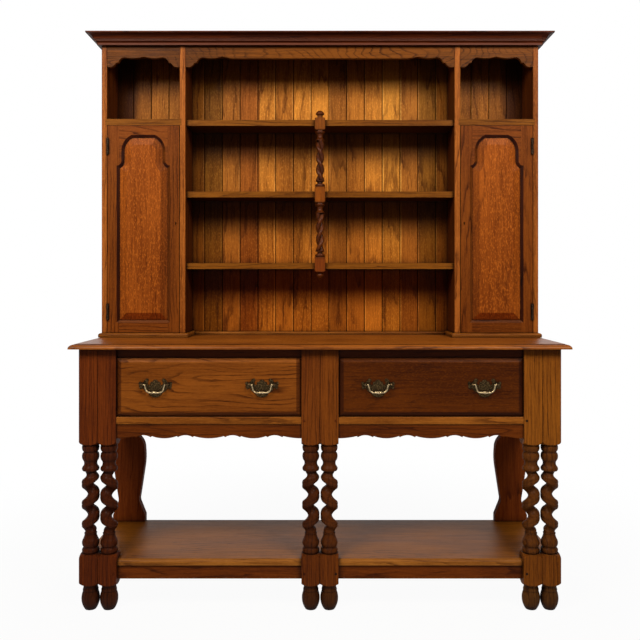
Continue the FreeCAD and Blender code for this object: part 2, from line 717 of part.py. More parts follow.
def left_pegs(radius):
    """The pegs that lock the drawer rail and the potboard rail into both legs of the left bay."""
    pegs = []
    for height in ((DRAWER_RAIL_BOTTOM + DRAWER_BOTTOM) / 2, (LOWER_RAIL_BOTTOM + POTBOARD_BOTTOM) / 2):
        for x in (-BAY_OUTER - PEG_INSET, -BAY_INNER + PEG_INSET):
            pegs.append(cylinder(radius, Vector(x, LEG_FRONT - PEG_PROUD, height),
                                 Vector(x, LEG_FRONT + PEG_LENGTH, height)))
    return pegs


def build_base():
    """Legs, rails, panels and potboard; every tenon cuts its own mortise."""
    bores = both(left_pegs(PEG_RADIUS + PEG_CLEARANCE))
    rails = [rail.cut(bores) for rail in both(left_drawer_rails())]
    low_rails = [rail.cut(bores) for rail in lower_rails()]
    apron = left_apron()
    side_face = HALF_BASE - PANEL_INSET
    side = tenoned(-side_face, -side_face + PANEL_THICKNESS, LEG_BACK, REAR_LEG_FRONT, APRON_BOTTOM,
                   WORKTOP_BOTTOM, "y")
    back = tenoned(-BAY_OUTER, BAY_OUTER, PANEL_FRONT, PANEL_BACK, DRAWER_RAIL_BOTTOM, WORKTOP_BOTTOM, "x")
    panels = both([side]) + [back]
    let_in = rails + low_rails + both([apron]) + panels + bores

    leg = turned_leg()
    axis_y = LEG_FRONT + LEG_WIDTH / 2
    outer = moved(leg, -(HALF_BASE - LEG_WIDTH / 2), axis_y).cut(let_in)
    inner = moved(mirrored(leg), -(BAY_OUTER + LEG_WIDTH / 2), axis_y).cut(let_in)
    centre = moved(leg, -LEG_WIDTH / 2, axis_y).cut(let_in)

    save("worktop", [worktop()])
    save_pair("front_leg_{}_outer", [outer])
    save_pair("front_leg_{}_inner", [inner])
    save_pair("front_leg_centre_{}", [centre])
    save_pair("rear_leg_{}", [rear_leg().cut(let_in)])
    save("base_panels", panels)
    save("drawer_rails", rails)
    save_pair("apron_{}", [apron])
    save("drawer_runners", both(left_runners()))
    save("potboard", [potboard()])
    save("potboard_rails", low_rails)
    save("rail_pegs", both(left_pegs(PEG_RADIUS)))


def bevelled_block(x0, x1, z0, z1, y_field, y_edge, y_back, bevel):
    """A fielded board: a flat field in front, sloping back to the edge all round."""
    field = outline(on_xz, [(x0 + bevel, z0 + bevel), (x1 - bevel, z0 + bevel),
                            (x1 - bevel, z1 - bevel), (x0 + bevel, z1 - bevel)])
    edge = outline(on_xz, [(x0, z0), (x1, z0), (x1, z1), (x0, z1)])
    field.translate(Vector(0, y_field, 0))
    edge.translate(Vector(0, y_edge, 0))
    return joined([Part.makeLoft([field, edge], True, True), box(x0, x1, y_edge, y_back, z0, z1)])


def drawer_side(x0, x1, z0, z1, back):
    """A drawer side with dovetails on its front end."""
    tails = []
    pitch = (z1 - z0) / DOVETAILS
    start = DRAWER_FRONT_BACK - DRAWER_LAP
    for i in range(DOVETAILS):
        low = z0 + pitch * (i + 0.2)
        high = z0 + pitch * (i + 0.8)
        tails.append(slab(on_yz, [(start, low - DOVETAIL_SLOPE), (DRAWER_FRONT_BACK, low),
                                  (DRAWER_FRONT_BACK, high), (start, high + DOVETAIL_SLOPE)], x0, x1))
    return joined([box(x0, x1, DRAWER_FRONT_BACK, back, z0, z1)] + tails)


def plate_outline():
    """A bat-wing back plate about its own middle, drawn as arcs between its points."""
    w = PLATE_WIDTH / 2
    h = PLATE_HEIGHT / 2
    crown = [((0.105 * w, 0.767 * h), (0.152 * w, 0.583 * h)), ((0.257 * w, 0.60 * h), (0.295 * w, 0.40 * h)),
             ((0.314 * w, 0.283 * h), (0.381 * w, 0.267 * h)), ((0.467 * w, 0.40 * h), (0.448 * w, 0.65 * h))]
    ear = [((0.438 * w, 0.90 * h), (0.552 * w, 0.933 * h)), ((0.638 * w, 0.767 * h), (0.705 * w, 0.60 * h))]
    wing = [((0.80 * w, 0.517 * h), (0.905 * w, 0.633 * h)), ((w, 0.50 * h), (0.952 * w, 0.267 * h)),
            ((0.962 * w, 0), (0.857 * w, -0.167 * h)), ((0.781 * w, -0.033 * h), (0.686 * w, -0.133 * h))]
    drop = [((0.571 * w, -0.40 * h), (0.419 * w, -0.50 * h)), ((0.305 * w, -0.80 * h), (0, -h))]
    right = crown + ear + wing + drop
    start = (0, 0.833 * h)
    left = []
    points = [start] + [end for via, end in right]
    for (via, end), before in zip(reversed(right), reversed(points[:-1])):
        left.append(((-via[0], via[1]), (-before[0], before[1])))
    return [start] + right + left


def handle_bore(x, clearance):
    """The way of a post's shank through plate, drawer front and nut."""
    return cylinder(SHANK_RADIUS + clearance, Vector(x, DRAWER_FACE - PLATE_THICKNESS, POST_HEIGHT),
                    Vector(x, DRAWER_FRONT_BACK + NUT_HEIGHT + SHANK_END, POST_HEIGHT))


def handle_post(x):
    """A post with a cross-bored head, its threaded shank and the nut behind the drawer front."""
    head = DRAWER_FACE - PLATE_THICKNESS - POST_STAND
    end = DRAWER_FRONT_BACK + NUT_HEIGHT + SHANK_END
    shank = end - head - POST_STAND
    ball = end - head
    meet = ball - math.sqrt(POST_HEAD_RADIUS ** 2 - POST_RADIUS ** 2)
    post = turned([(0, 0), (SHANK_RADIUS, 0), (SHANK_RADIUS, shank), (POST_RADIUS, shank), (POST_RADIUS, meet),
                   ((POST_HEAD_RADIUS, ball), (0, ball + POST_HEAD_RADIUS))])
    post.rotate(Vector(0, 0, 0), Vector(1, 0, 0), 90)
    post.translate(Vector(x, end, POST_HEIGHT))
    bore = cylinder(BAIL_PIN_RADIUS + BAIL_PIN_CLEARANCE, Vector(x - POST_SPACING / 4, head, POST_HEIGHT),
                    Vector(x + POST_SPACING / 4, head, POST_HEIGHT))
    nut = cylinder(NUT_RADIUS, Vector(x, DRAWER_FRONT_BACK, POST_HEIGHT),
                   Vector(x, DRAWER_FRONT_BACK + NUT_HEIGHT, POST_HEIGHT))
    return [post.cut(bore), nut.cut(handle_bore(x, NUT_CLEARANCE))]


def rounded_path(points, trims):
    """Edges along the points, each inner corner rounded by a tangent arc with its own trim length."""
    edges = []
    here = points[0]
    for i in range(1, len(points) - 1):
        before = (points[i - 1] - points[i]).normalize()
        after = (points[i + 1] - points[i]).normalize()
        trim = trims[i - 1]
        half_angle = before.getAngle(after) / 2
        radius = trim * math.tan(half_angle)
        inward = (before + after).normalize()
        via = points[i] + inward * (radius / math.sin(half_angle) - radius)
        start = points[i] + before * trim
        end = points[i] + after * trim
        edges.append(Part.makeLine(here, start))
        edges.append(Part.Arc(start, via, end).toShape())
        here = end
    edges.append(Part.makeLine(here, points[-1]))
    return edges


def bail(x):
    """A bail hanging between its posts: pins, splayed arms, a bottom bar and a swelled grip."""
    y = DRAWER_FACE - PLATE_THICKNESS - POST_STAND
    z = POST_HEIGHT
    low = z - BAIL_DROP
    start = POST_SPACING / 2 - POST_HEAD_RADIUS - BAIL_END_GAP
    arm = start - BAIL_CORNER - BAIL_END_GAP

    def at(u, w):
        return Vector(x + u, y, w)

    path = rounded_path([at(start, z), at(arm, z), at(BAIL_BOTTOM_HALF, low), at(-BAIL_BOTTOM_HALF, low),
                         at(-arm, z), at(-start, z)], [BAIL_CORNER, BAIL_BEND, BAIL_BEND, BAIL_CORNER])
    ring = Part.Wire([Part.makeCircle(BAIL_RADIUS, at(start, z), Vector(1, 0, 0))])
    tube = Part.Wire(path).makePipeShell([ring], True, False)
    reach = POST_SPACING / 2 + POST_HEAD_RADIUS
    pins = [cylinder(BAIL_PIN_RADIUS, at(side * start, z), at(side * reach, z)) for side in (1, -1)]
    grip = turned([(0, 0), (BAIL_RADIUS, 0),
                   ((BAIL_GRIP_RADIUS, BAIL_GRIP_HALF), (BAIL_RADIUS, 2 * BAIL_GRIP_HALF)),
                   (0, 2 * BAIL_GRIP_HALF)])
    grip.rotate(Vector(0, 0, 0), Vector(0, 1, 0), 90)
    grip.translate(at(-BAIL_GRIP_HALF, low))
    return joined([tube] + pins + [grip])


def build_drawers():
    """The left drawer with its handles, then its mirror image."""
    x0 = -BAY_OUTER + DRAWER_GAP
    x1 = -BAY_INNER - DRAWER_GAP
    bottom = DRAWER_BOTTOM + RUNNING_GAP
    side_top = bottom + DRAWER_SIDE_HEIGHT
    back_end = PANEL_FRONT - DRAWER_BACK_GAP
    floor = bottom + DRAWER_BOTTOM_LIFT
    floor_top = floor + DRAWER_BOTTOM_THICKNESS
    inner0 = x0 + DRAWER_SIDE_THICKNESS
    inner1 = x1 - DRAWER_SIDE_THICKNESS

    board = box(inner0 - DRAWER_GROOVE, inner1 + DRAWER_GROOVE, DRAWER_FRONT_BACK - DRAWER_GROOVE, back_end,
                floor, floor_top)
    sides = [drawer_side(x0, inner0, bottom, side_top, back_end).cut(board),
             drawer_side(inner1, x1, bottom, side_top, back_end).cut(board)]
    rear = box(inner0, inner1, back_end - DRAWER_SIDE_THICKNESS, back_end, floor_top, side_top)
    front = bevelled_block(x0, x1, DRAWER_BOTTOM + DRAWER_GAP, DRAWER_TOP - DRAWER_GAP, DRAWER_FACE,
                           DRAWER_EDGE, DRAWER_FRONT_BACK, DRAWER_BEVEL_WIDTH)

    plates = []
    posts = []
    bores = []
    bails = []
    for offset in (-HANDLE_OFFSET, HANDLE_OFFSET):
        centre = -BAY_CENTRE + offset
        for side in (-1, 1):
            posts += handle_post(centre + side * POST_SPACING / 2)
            bores.append(handle_bore(centre + side * POST_SPACING / 2, SHANK_CLEARANCE))
        plate = slab(on_xz, plate_outline(), DRAWER_FACE - PLATE_THICKNESS, DRAWER_FACE)
        plates.append(moved(plate, centre, 0, HANDLE_HEIGHT).cut(bores))
        bails.append(bail(centre))

    save_pair("drawer_{}_front", [front.cut(sides + [board] + bores)])
    save_pair("drawer_{}_box", sides + [rear, board])
    save_pair("drawer_{}_handle_plates", plates)
    save_pair("drawer_{}_handle_posts", posts)
    save_pair("drawer_{}_bail_outer", [bails[0]])
    save_pair("drawer_{}_bail_inner", [bails[1]])


def frieze_end(start, bottom, flip):
    """Points of a frieze's shaped edge from its end to the cusp; flip is -1 for the other end."""
    def at(u, v):
        return (start + flip * u, bottom + v)

    ogee = FRIEZE_NIB + FRIEZE_OGEE
    step = ogee + FRIEZE_STEP
    step_rise = FRIEZE_OGEE_RISE + FRIEZE_STEP_RISE
    curve = step + FRIEZE_CURVE
    curve_rise = step_rise + FRIEZE_CURVE_RISE
    cusp = CUPBOARD_WIDTH / 2
    points = [at(0, 0), at(FRIEZE_NIB, 0), at(ogee, FRIEZE_OGEE_RISE), at(step, step_rise),
              at(curve, curve_rise), at(cusp, curve_rise + FRIEZE_CUSP_RISE)]
    vias = [at(FRIEZE_NIB + FRIEZE_OGEE * 0.6, FRIEZE_OGEE_RISE * 0.4),
            at(step + FRIEZE_CURVE * 0.33, step_rise + FRIEZE_CURVE_RISE * 0.74),
            at((curve + cusp) / 2, curve_rise + FRIEZE_CUSP_RISE / 2 - FRIEZE_SAG)]
    return points, vias


def frieze_edge(start, end, bottom, straight):
    """The shaped lower edge from one end to the other, with a straight run in the middle if asked."""
    points, vias = frieze_end(start, bottom, 1)
    steps = [points[0], points[1], (vias[0], points[2]), points[3], (vias[1], points[4]), (vias[2], points[5])]
    back_points, back_vias = frieze_end(end, bottom, -1)
    if straight:
        level = points[5][1] - 2 * FRIEZE_CUSP_RISE
        fall = points[5][0] + FRIEZE_FALL
        rise = back_points[5][0] - FRIEZE_FALL
        sag = level + FRIEZE_CUSP_RISE * 0.43
        steps += [(((points[5][0] + fall) / 2, sag), (fall, level)), (rise, level),
                  (((back_points[5][0] + rise) / 2, sag), back_points[5])]
    steps += [(back_vias[2], back_points[4]), (back_vias[1], back_points[3]), back_points[2],
              (back_vias[0], back_points[1]), back_points[0]]
    return steps


def frieze(start, end, straight):
    front = RACK_FRONT + FRIEZE_SETBACK
    edge = frieze_edge(start, end, RACK_UNDER_TOP - FRIEZE_HEIGHT, straight)
    return slab(on_xz, edge + [(end, RACK_UNDER_TOP), (start, RACK_UNDER_TOP)], front, front + FRIEZE_THICKNESS)


def upright(x0, x1, back):
    """A rack side or partition, its front edges eased."""
    ease = EDGE_EASE
    return slab(on_xy, [(x0 + ease, RACK_FRONT), (x1 - ease, RACK_FRONT), (x1, RACK_FRONT + ease), (x1, back),
                        (x0, back), (x0, RACK_FRONT + ease)], WORKTOP_HEIGHT, RACK_UNDER_TOP)


def back_boards():
    """Boards side by side: a tongue on one edge, a groove on the other, and a V where they meet in front."""
    half = CUPBOARD_OUTER + BOARD_REBATE
    pitch = 2 * half / BOARD_COUNT
    middle = (BOARD_FRONT + BACK) / 2
    tongue = TONGUE_THICKNESS / 2
    groove = tongue + TONGUE_CLEARANCE / 2
    deep = TONGUE_LENGTH + TONGUE_CLEARANCE
    boards = []
    for i in range(BOARD_COUNT):
        x0 = -half + i * pitch
        x1 = x0 + pitch
        steps = [(x0 + BOARD_VEE, BOARD_FRONT), (x1 - BOARD_VEE, BOARD_FRONT), (x1, BOARD_FRONT + BOARD_VEE)]
        if i < BOARD_COUNT - 1:
            steps += [(x1, middle - tongue), (x1 + TONGUE_LENGTH, middle - tongue),
                      (x1 + TONGUE_LENGTH, middle + tongue), (x1, middle + tongue)]
        steps += [(x1, BACK), (x0, BACK)]
        if i > 0:
            steps += [(x0, middle + groove), (x0 + deep, middle + groove), (x0 + deep, middle - groove),
                      (x0, middle - groove)]
        steps += [(x0, BOARD_FRONT + BOARD_VEE)]
        boards.append(slab(on_xy, steps, WORKTOP_HEIGHT, RACK_UNDER_TOP))
    return boards


def mitre_wedge(x, y, size, keep):
    """A tall wedge that trims a moulding along the 45 degree line out of a left front corner."""
    corner = (x - size, y) if keep == "front" else (x, y - size)
    return slab(on_xy, [(x, y), (x - size, y - size), corner], WORKTOP_HEIGHT, RACK_UNDER_TOP + CORNICE_HEIGHT)


def cornice_profile():
    """Outward reach and height of the cornice: a foot, a cove, a step, a larger cove and a lip."""
    cove_out = CORNICE_FOOT + CORNICE_COVE
    cove_up = CORNICE_FILLET + CORNICE_COVE
    large_out = cove_out + CORNICE_STEP
    large_up = cove_up + CORNICE_FILLET
    lip_out = CORNICE_PROJECTION - CORNICE_STEP
    lip_up = CORNICE_HEIGHT - CORNICE_LIP
    return [(0, 0), (CORNICE_FOOT, 0), (CORNICE_FOOT, CORNICE_FILLET),
            ((CORNICE_FOOT + CORNICE_COVE * 0.3, CORNICE_FILLET + CORNICE_COVE * 0.7), (cove_out, cove_up)),
            (cove_out, large_up), (large_out, large_up),
            ((large_out + (lip_out - large_out) * 0.3, large_up + (lip_up - large_up) * 0.7),
             (lip_out, lip_up)),
            (CORNICE_PROJECTION, lip_up), (CORNICE_PROJECTION, CORNICE_HEIGHT), (0, CORNICE_HEIGHT)]


def placed(profile, place):
    """A profile's points and arcs carried through a placing function."""
    return [(place(*step[0]), place(*step[1])) if isinstance(step[0], tuple) else place(*step)
            for step in profile]


def cornice():
    """The front length between its mitres, and the left return."""
    z = RACK_UNDER_TOP
    reach = HALF_RACK + CORNICE_PROJECTION
    size = 2 * CORNICE_PROJECTION
    profile = cornice_profile()
    front = slab(on_yz, placed(profile, lambda out, up: (RACK_FRONT - out, z + up)), -reach, reach)
    trim = mitre_wedge(-HALF_RACK, RACK_FRONT, size, "front")
    side = slab(on_xz, placed(profile, lambda out, up: (-HALF_RACK - out, z + up)),
                RACK_FRONT - CORNICE_PROJECTION, BACK)
    side = side.cut(mitre_wedge(-HALF_RACK, RACK_FRONT, size, "side"))
    return front.cut(both([trim])), side


def plinth():
    """The moulding round a cupboard's foot: outer return, front and inner return, mitred."""
    z = WORKTOP_HEIGHT
    out = PLINTH_PROJECTION
    spread = math.sqrt(0.5)
    via = (PLINTH_FILLET + (out - PLINTH_FILLET) * spread, PLINTH_NOSE + (PLINTH_HEIGHT - PLINTH_NOSE) * spread)
    profile = [(0, 0), (out, 0), (out, PLINTH_NOSE), (via, (PLINTH_FILLET, PLINTH_HEIGHT)), (0, PLINTH_HEIGHT)]
    size = 2 * out
    front = slab(on_yz, placed(profile, lambda u, v: (RACK_FRONT - u, z + v)), -HALF_RACK - out,
                 -RACK_BAY + out)
    outer = slab(on_xz, placed(profile, lambda u, v: (-HALF_RACK - u, z + v)), RACK_FRONT - out, BACK)
    inner = slab(on_xz, placed(profile, lambda u, v: (-RACK_BAY + u, z + v)), RACK_FRONT - out, BOARD_FRONT)
    left_front = mitre_wedge(-HALF_RACK, RACK_FRONT, size, "front")
    left_side = mitre_wedge(-HALF_RACK, RACK_FRONT, size, "side")
    right_front = moved(mirrored(mitre_wedge(0, RACK_FRONT, size, "front")), -RACK_BAY)
    right_side = moved(mirrored(mitre_wedge(0, RACK_FRONT, size, "side")), -RACK_BAY)
    return [outer.cut(left_side), front.cut([left_front, right_front]), inner.cut(right_side)]


def double_section(height, angle, offset, radius):
    """Two round strands side by side, drawn as four arcs that meet in the grooves."""
    sweep = math.pi - math.acos(offset / radius)
    arcs = []
    for side in (1, -1):
        points = []
        for share in (-1, -0.5, 0, 0.5, 1):
            u = side * (offset + radius * math.cos(share * sweep))
            v = side * radius * math.sin(share * sweep)
            points.append(Vector(u * math.cos(angle) - v * math.sin(angle),
                                 u * math.sin(angle) + v * math.cos(angle), height))
        arcs.append(Part.Arc(points[0], points[1], points[2]).toShape())
        arcs.append(Part.Arc(points[2], points[3], points[4]).toShape())
    return Part.Wire(arcs)


def double_twist(bottom, top, hand):
    """A rope of two strands."""
    offset = BALUSTER_BLOCK / 2 - BALUSTER_RADIUS_INSET - BALUSTER_STRAND_RADIUS
    turns = (top - bottom) / BALUSTER_LEAD
    count = max(2, round(turns * BALUSTER_SECTION_COUNT))
    wires = []
    for i in range(count + 1):
        share = i / count
        wires.append(double_section(bottom + (top - bottom) * share, hand * 2 * math.pi * turns * share, offset,
                                    BALUSTER_STRAND_RADIUS))
    return Part.makeLoft(wires, True, False)


def baluster():
    """Blocks over the shelf fronts, with turned and twisted stretches between, a cap and a drop."""
    half = BALUSTER_BLOCK / 2
    large = half - BALUSTER_RADIUS_INSET
    neck = half - BALUSTER_NECK_INSET
    rim = (large + neck) / 2
    collar = large + BALUSTER_COLLAR
    tops = [top + above for top, above in zip(SHELF_TOPS, BALUSTER_ABOVE)]
    bottoms = [top - SHELF_THICKNESS - below for top, below in zip(SHELF_TOPS, BALUSTER_BELOW)]
    pieces = []
    for top, bottom in zip(tops, bottoms):
        pieces.append(pommel_block(BALUSTER_BLOCK, LEG_CHAMFER, BALUSTER_POMMEL, POMMEL_INSET, bottom, top,
                                   True))
    for high, low, hand in ((bottoms[0], tops[1], -1), (bottoms[1], tops[2], 1)):
        ring = high - BALUSTER_RING
        twist_top = ring - BALUSTER_VASE
        twist_bottom = low + BALUSTER_FOOT
        vase = twist_top + BALUSTER_FILLET
        foot = twist_bottom - BALUSTER_FILLET
        swell = half - POMMEL_INSET / 2
        pieces.append(turned([(0, twist_top), (collar, twist_top), (collar, vase),
                              bead(vase, ring, collar, neck), bead(ring, high, collar, swell), (0, high)]))
        pieces.append(turned([(0, low), (collar, low), bead(low, low + BALUSTER_RING, collar, swell),
                              bead(low + BALUSTER_RING, foot, collar, neck), (collar, twist_bottom),
                              (0, twist_bottom)]))
        pieces.append(double_twist(foot + BALUSTER_COLLAR, vase - BALUSTER_COLLAR, hand))
    cap = tops[0]
    cap_neck = cap + BALUSTER_CAP * 0.4
    cap_dome = cap + BALUSTER_CAP * 0.75
    cap_top = cap + BALUSTER_CAP
    pieces.append(turned([(0, cap), (rim, cap), bead(cap, cap_neck, rim, neck),
                          bead(cap_neck, cap_dome, rim, large),
                          (dome_via(rim, cap_dome, cap_top), (0, cap_top))]))
    drop = bottoms[2]
    drop_tip = drop - BALUSTER_DROP
    drop_dome = drop - BALUSTER_DROP * 0.7
    drop_neck = drop - BALUSTER_DROP * 0.25
    pieces.append(turned([(0, drop_tip), (dome_via(neck, drop_dome, drop_tip), (neck, drop_dome)),
                          bead(drop_dome, drop_neck, neck, rim), (large, drop), (0, drop)]))
    return moved(joined(pieces), 0, SHELF_FRONT + BALUSTER_LAP - half)


def hinge_place():
    """The hinge line of the left door, in plan."""
    return -CUPBOARD_OUTER + KNUCKLE_RADIUS, RACK_FRONT - KNUCKLE_RADIUS - KNUCKLE_STAND


def hinge(centre):
    """A butt hinge of the left door: frame leaf, door leaf and pin."""
    x, y = hinge_place()
    low = centre - HINGE_HEIGHT / 2
    third = HINGE_HEIGHT / 3
    leaf_back = RACK_FRONT + LEAF_WIDTH
    frame_face = -CUPBOARD_OUTER
    door_face = -CUPBOARD_OUTER + DOOR_GAP

    def knuckle(z0, z1):
        return cylinder(KNUCKLE_RADIUS, Vector(x, y, z0), Vector(x, y, z1))

    frame = [box(frame_face - LEAF_THICKNESS, frame_face, RACK_FRONT, leaf_back, low, low + HINGE_HEIGHT)]
    for z0 in (low, low + 2 * third):
        frame.append(knuckle(z0, z0 + third))
        frame.append(box(frame_face - LEAF_THICKNESS, x, y, y + LEAF_THICKNESS, z0, z0 + third))
        frame.append(box(frame_face - LEAF_THICKNESS, frame_face, y, RACK_FRONT, z0, z0 + third))
    door = [box(door_face, door_face + LEAF_THICKNESS, RACK_FRONT, leaf_back, low, low + HINGE_HEIGHT)]
    door.append(knuckle(low + third + KNUCKLE_GAP, low + 2 * third - KNUCKLE_GAP))
    door.append(box(door_face, door_face + LEAF_THICKNESS, y, RACK_FRONT, low + third + KNUCKLE_GAP,
                    low + 2 * third - KNUCKLE_GAP))
    pin = cylinder(HINGE_PIN_RADIUS, Vector(x, y, low), Vector(x, y, low + HINGE_HEIGHT))
    bore = cylinder(HINGE_PIN_RADIUS + HINGE_PIN_CLEARANCE, Vector(x, y, low), Vector(x, y, low + HINGE_HEIGHT))
    return joined(frame + [pin]), joined(door).cut(bore)


def arch_outline(inset):
    """The door's arched opening about its middle line, drawn in from its front arris by an inset."""
    half = CUPBOARD_WIDTH / 2 - DOOR_GAP - STILE_WIDTH
    top = DOOR_TOP - TOP_RAIL
    spring = top - ARCH_RISE
    ear_level = spring - ARCH_DROP
    foot = DOOR_BOTTOM + BOTTOM_RAIL + inset
    radius = ARCH_RADIUS - inset
    centre = half - ARCH_EAR - ARCH_RADIUS
    flat = centre + math.sqrt(radius ** 2 - (ARCH_RISE - inset) ** 2)
    side = centre + radius
    ear = ARCH_EAR + inset
    edge = half - inset
    corner = ear_level - math.sqrt(ear ** 2 - inset ** 2)
    rise = math.atan2(ARCH_RISE - inset, flat - centre) / 2
    turn = math.pi + math.acos(inset / ear) / 2
    arch_via = (centre + radius * math.cos(rise), spring + radius * math.sin(rise))
    ear_via = (half + ear * math.cos(turn), ear_level + ear * math.sin(turn))
    right = [(flat, top - inset), (arch_via, (side, spring)), (side, ear_level), (ear_via, (edge, corner)),
             (edge, foot)]
    left = [(-edge, foot), (-edge, corner), ((-ear_via[0], ear_via[1]), (-side, ear_level)), (-side, spring),
            ((-arch_via[0], arch_via[1]), (-flat, top - inset))]
    return right + left


def arch_loft(inset0, y0, inset1, y1):
    """A ruled solid between two insets of the arched opening, at two depths."""
    wires = []
    for inset, y in ((inset0, y0), (inset1, y1)):
        wire = outline(on_xz, arch_outline(inset))
        wire.translate(Vector(0, y, 0))
        wires.append(wire)
    return Part.makeLoft(wires, True, True)


def door_frame():
    """The whole frame before it is parted: arched hole, sloped arris and a groove for the panel."""
    half = CUPBOARD_WIDTH / 2 - DOOR_GAP
    groove = RACK_FRONT + PANEL_EDGE_SETBACK
    tools = [slab(on_xz, arch_outline(DOOR_MOULDING), RACK_FRONT, DOOR_BACK),
             arch_loft(0.0, RACK_FRONT, DOOR_MOULDING, RACK_FRONT + DOOR_MOULDING_DEPTH),
             slab(on_xz, arch_outline(0.0), groove, groove + PANEL_TONGUE_THICKNESS)]
    return box(-half, half, RACK_FRONT, DOOR_BACK, DOOR_BOTTOM, DOOR_TOP).cut(tools)


def door_panel():
    """A fielded panel: bevels that follow the arch, and a thin tongue behind them."""
    edge = RACK_FRONT + PANEL_EDGE_SETBACK
    raised = arch_loft(DOOR_MOULDING + PANEL_BEVEL, RACK_FRONT + PANEL_FIELD_SETBACK, DOOR_MOULDING, edge)
    return joined([raised, slab(on_xz, arch_outline(PANEL_CLEARANCE), edge, edge + PANEL_TONGUE_THICKNESS)])


def lock_pieces(edge):
    """The block that the lock fills, let into the back of the lock stile, and the bolt at rest inside it."""
    z = KEYHOLE_HEIGHT
    case = box(edge - LOCK_WIDTH, edge, DOOR_BACK - LOCK_DEPTH, DOOR_BACK, z - LOCK_HEIGHT / 2,
               z + LOCK_HEIGHT / 2)
    bolt_y = DOOR_BACK - LOCK_DEPTH / 2 - BOLT_THICKNESS / 2
    bolt_z = z + LOCK_HEIGHT / 4 - BOLT_HEIGHT / 2
    bolt = box(edge - BOLT_LENGTH, edge, bolt_y, bolt_y + BOLT_THICKNESS, bolt_z, bolt_z + BOLT_HEIGHT)
    return case, bolt


def grown(shape, gap, ahead):
    """A block round a square piece with a gap on all sides, longer by some way ahead of it."""
    b = shape.BoundBox
    return box(b.XMin - gap, b.XMax + ahead, b.YMin - gap, b.YMax + gap, b.ZMin - gap, b.ZMax + gap)


def keyhole(x):
    """A round hole with a slot below it, through the front of the stile and half through the lock."""
    end = DOOR_BACK - LOCK_DEPTH / 2
    hole = cylinder(KEYHOLE_RADIUS, Vector(x, RACK_FRONT, KEYHOLE_HEIGHT), Vector(x, end, KEYHOLE_HEIGHT))
    slot = box(x - KEYHOLE_SLOT / 2, x + KEYHOLE_SLOT / 2, RACK_FRONT, end, KEYHOLE_HEIGHT - KEYHOLE_LENGTH,
               KEYHOLE_HEIGHT)
    return hole.fuse(slot)


def build_doors(door_leaves):
    """The left door, built about its own middle line and moved to its cupboard, then its mirror image."""
    middle = -(CUPBOARD_OUTER + CUPBOARD_INNER) / 2
    half = CUPBOARD_WIDTH / 2 - DOOR_GAP
    inner = half - STILE_WIDTH - DOOR_MOULDING
    ear_level = DOOR_TOP - TOP_RAIL - ARCH_RISE - ARCH_DROP
    halfway = (DOOR_BOTTOM + ear_level) / 2
    tenon_front = RACK_FRONT + PANEL_EDGE_SETBACK
    tenon_back = tenon_front + PANEL_TONGUE_THICKNESS
    frame = door_frame()
    case, bolt = lock_pieces(half)
    hole = keyhole(half - KEYHOLE_INSET)

    tenons = []
    for low, high in ((ear_level, DOOR_TOP), (DOOR_BOTTOM, DOOR_BOTTOM + BOTTOM_RAIL)):
        for side in (-1, 1):
            ends = sorted((side * (inner - DOOR_TENON_ROOT), side * (inner + DOOR_TENON)))
            tenons.append(box(ends[0], ends[1], tenon_front, tenon_back, low + TENON_SHOULDER,
                              high - TENON_SHOULDER))
    top_rail = frame.common(box(-inner, inner, RACK_FRONT, DOOR_BACK, halfway, DOOR_TOP))
    bottom_rail = frame.common(box(-inner, inner, RACK_FRONT, DOOR_BACK, DOOR_BOTTOM, halfway))
    rails = [joined([top_rail] + tenons[:2]), joined([bottom_rail] + tenons[2:])]
    hinge_stile = frame.common(box(-half, -inner, RACK_FRONT, DOOR_BACK, DOOR_BOTTOM, DOOR_TOP)).cut(tenons)
    lock_stile = frame.common(box(inner, half, RACK_FRONT, DOOR_BACK, DOOR_BOTTOM, DOOR_TOP))
    lock_stile = lock_stile.cut(tenons + [case, hole])
    lock = case.cut([hole, grown(bolt, BOLT_CLEARANCE, BOLT_THROW)])

    save_pair("door_{}_stiles", [moved(hinge_stile, middle).cut(door_leaves), moved(lock_stile, middle)])
    save_pair("door_{}_rails", [moved(rail, middle) for rail in rails])
    save_pair("door_{}_panel", [moved(door_panel(), middle)])
    save_pair("door_{}_hinge_leaves", door_leaves)
    save_pair("door_{}_lock", [moved(lock, middle)])
    save_pair("door_{}_lock_bolt", [moved(bolt, middle)])
    return moved(grown(bolt, MORTISE_CLEARANCE, BOLT_THROW + MORTISE_CLEARANCE), middle)


def back_bead():
    """A strip with a round nose along the foot of the back boards, between the cupboards."""
    z = WORKTOP_HEIGHT
    face = BOARD_FRONT - BACK_BEAD_DEPTH
    nose = BACK_BEAD_HEIGHT / 2
    curve = (BACK_BEAD_HEIGHT - nose) * math.sqrt(0.5)
    reach = RACK_BAY - PLINTH_PROJECTION
    steps = [(face, z), (face, z + nose),
             ((face + nose - curve, z + nose + curve), (face + nose, z + BACK_BEAD_HEIGHT)),
             (BOARD_FRONT, z + BACK_BEAD_HEIGHT), (BOARD_FRONT, z)]
    return slab(on_yz, steps, -reach, reach)


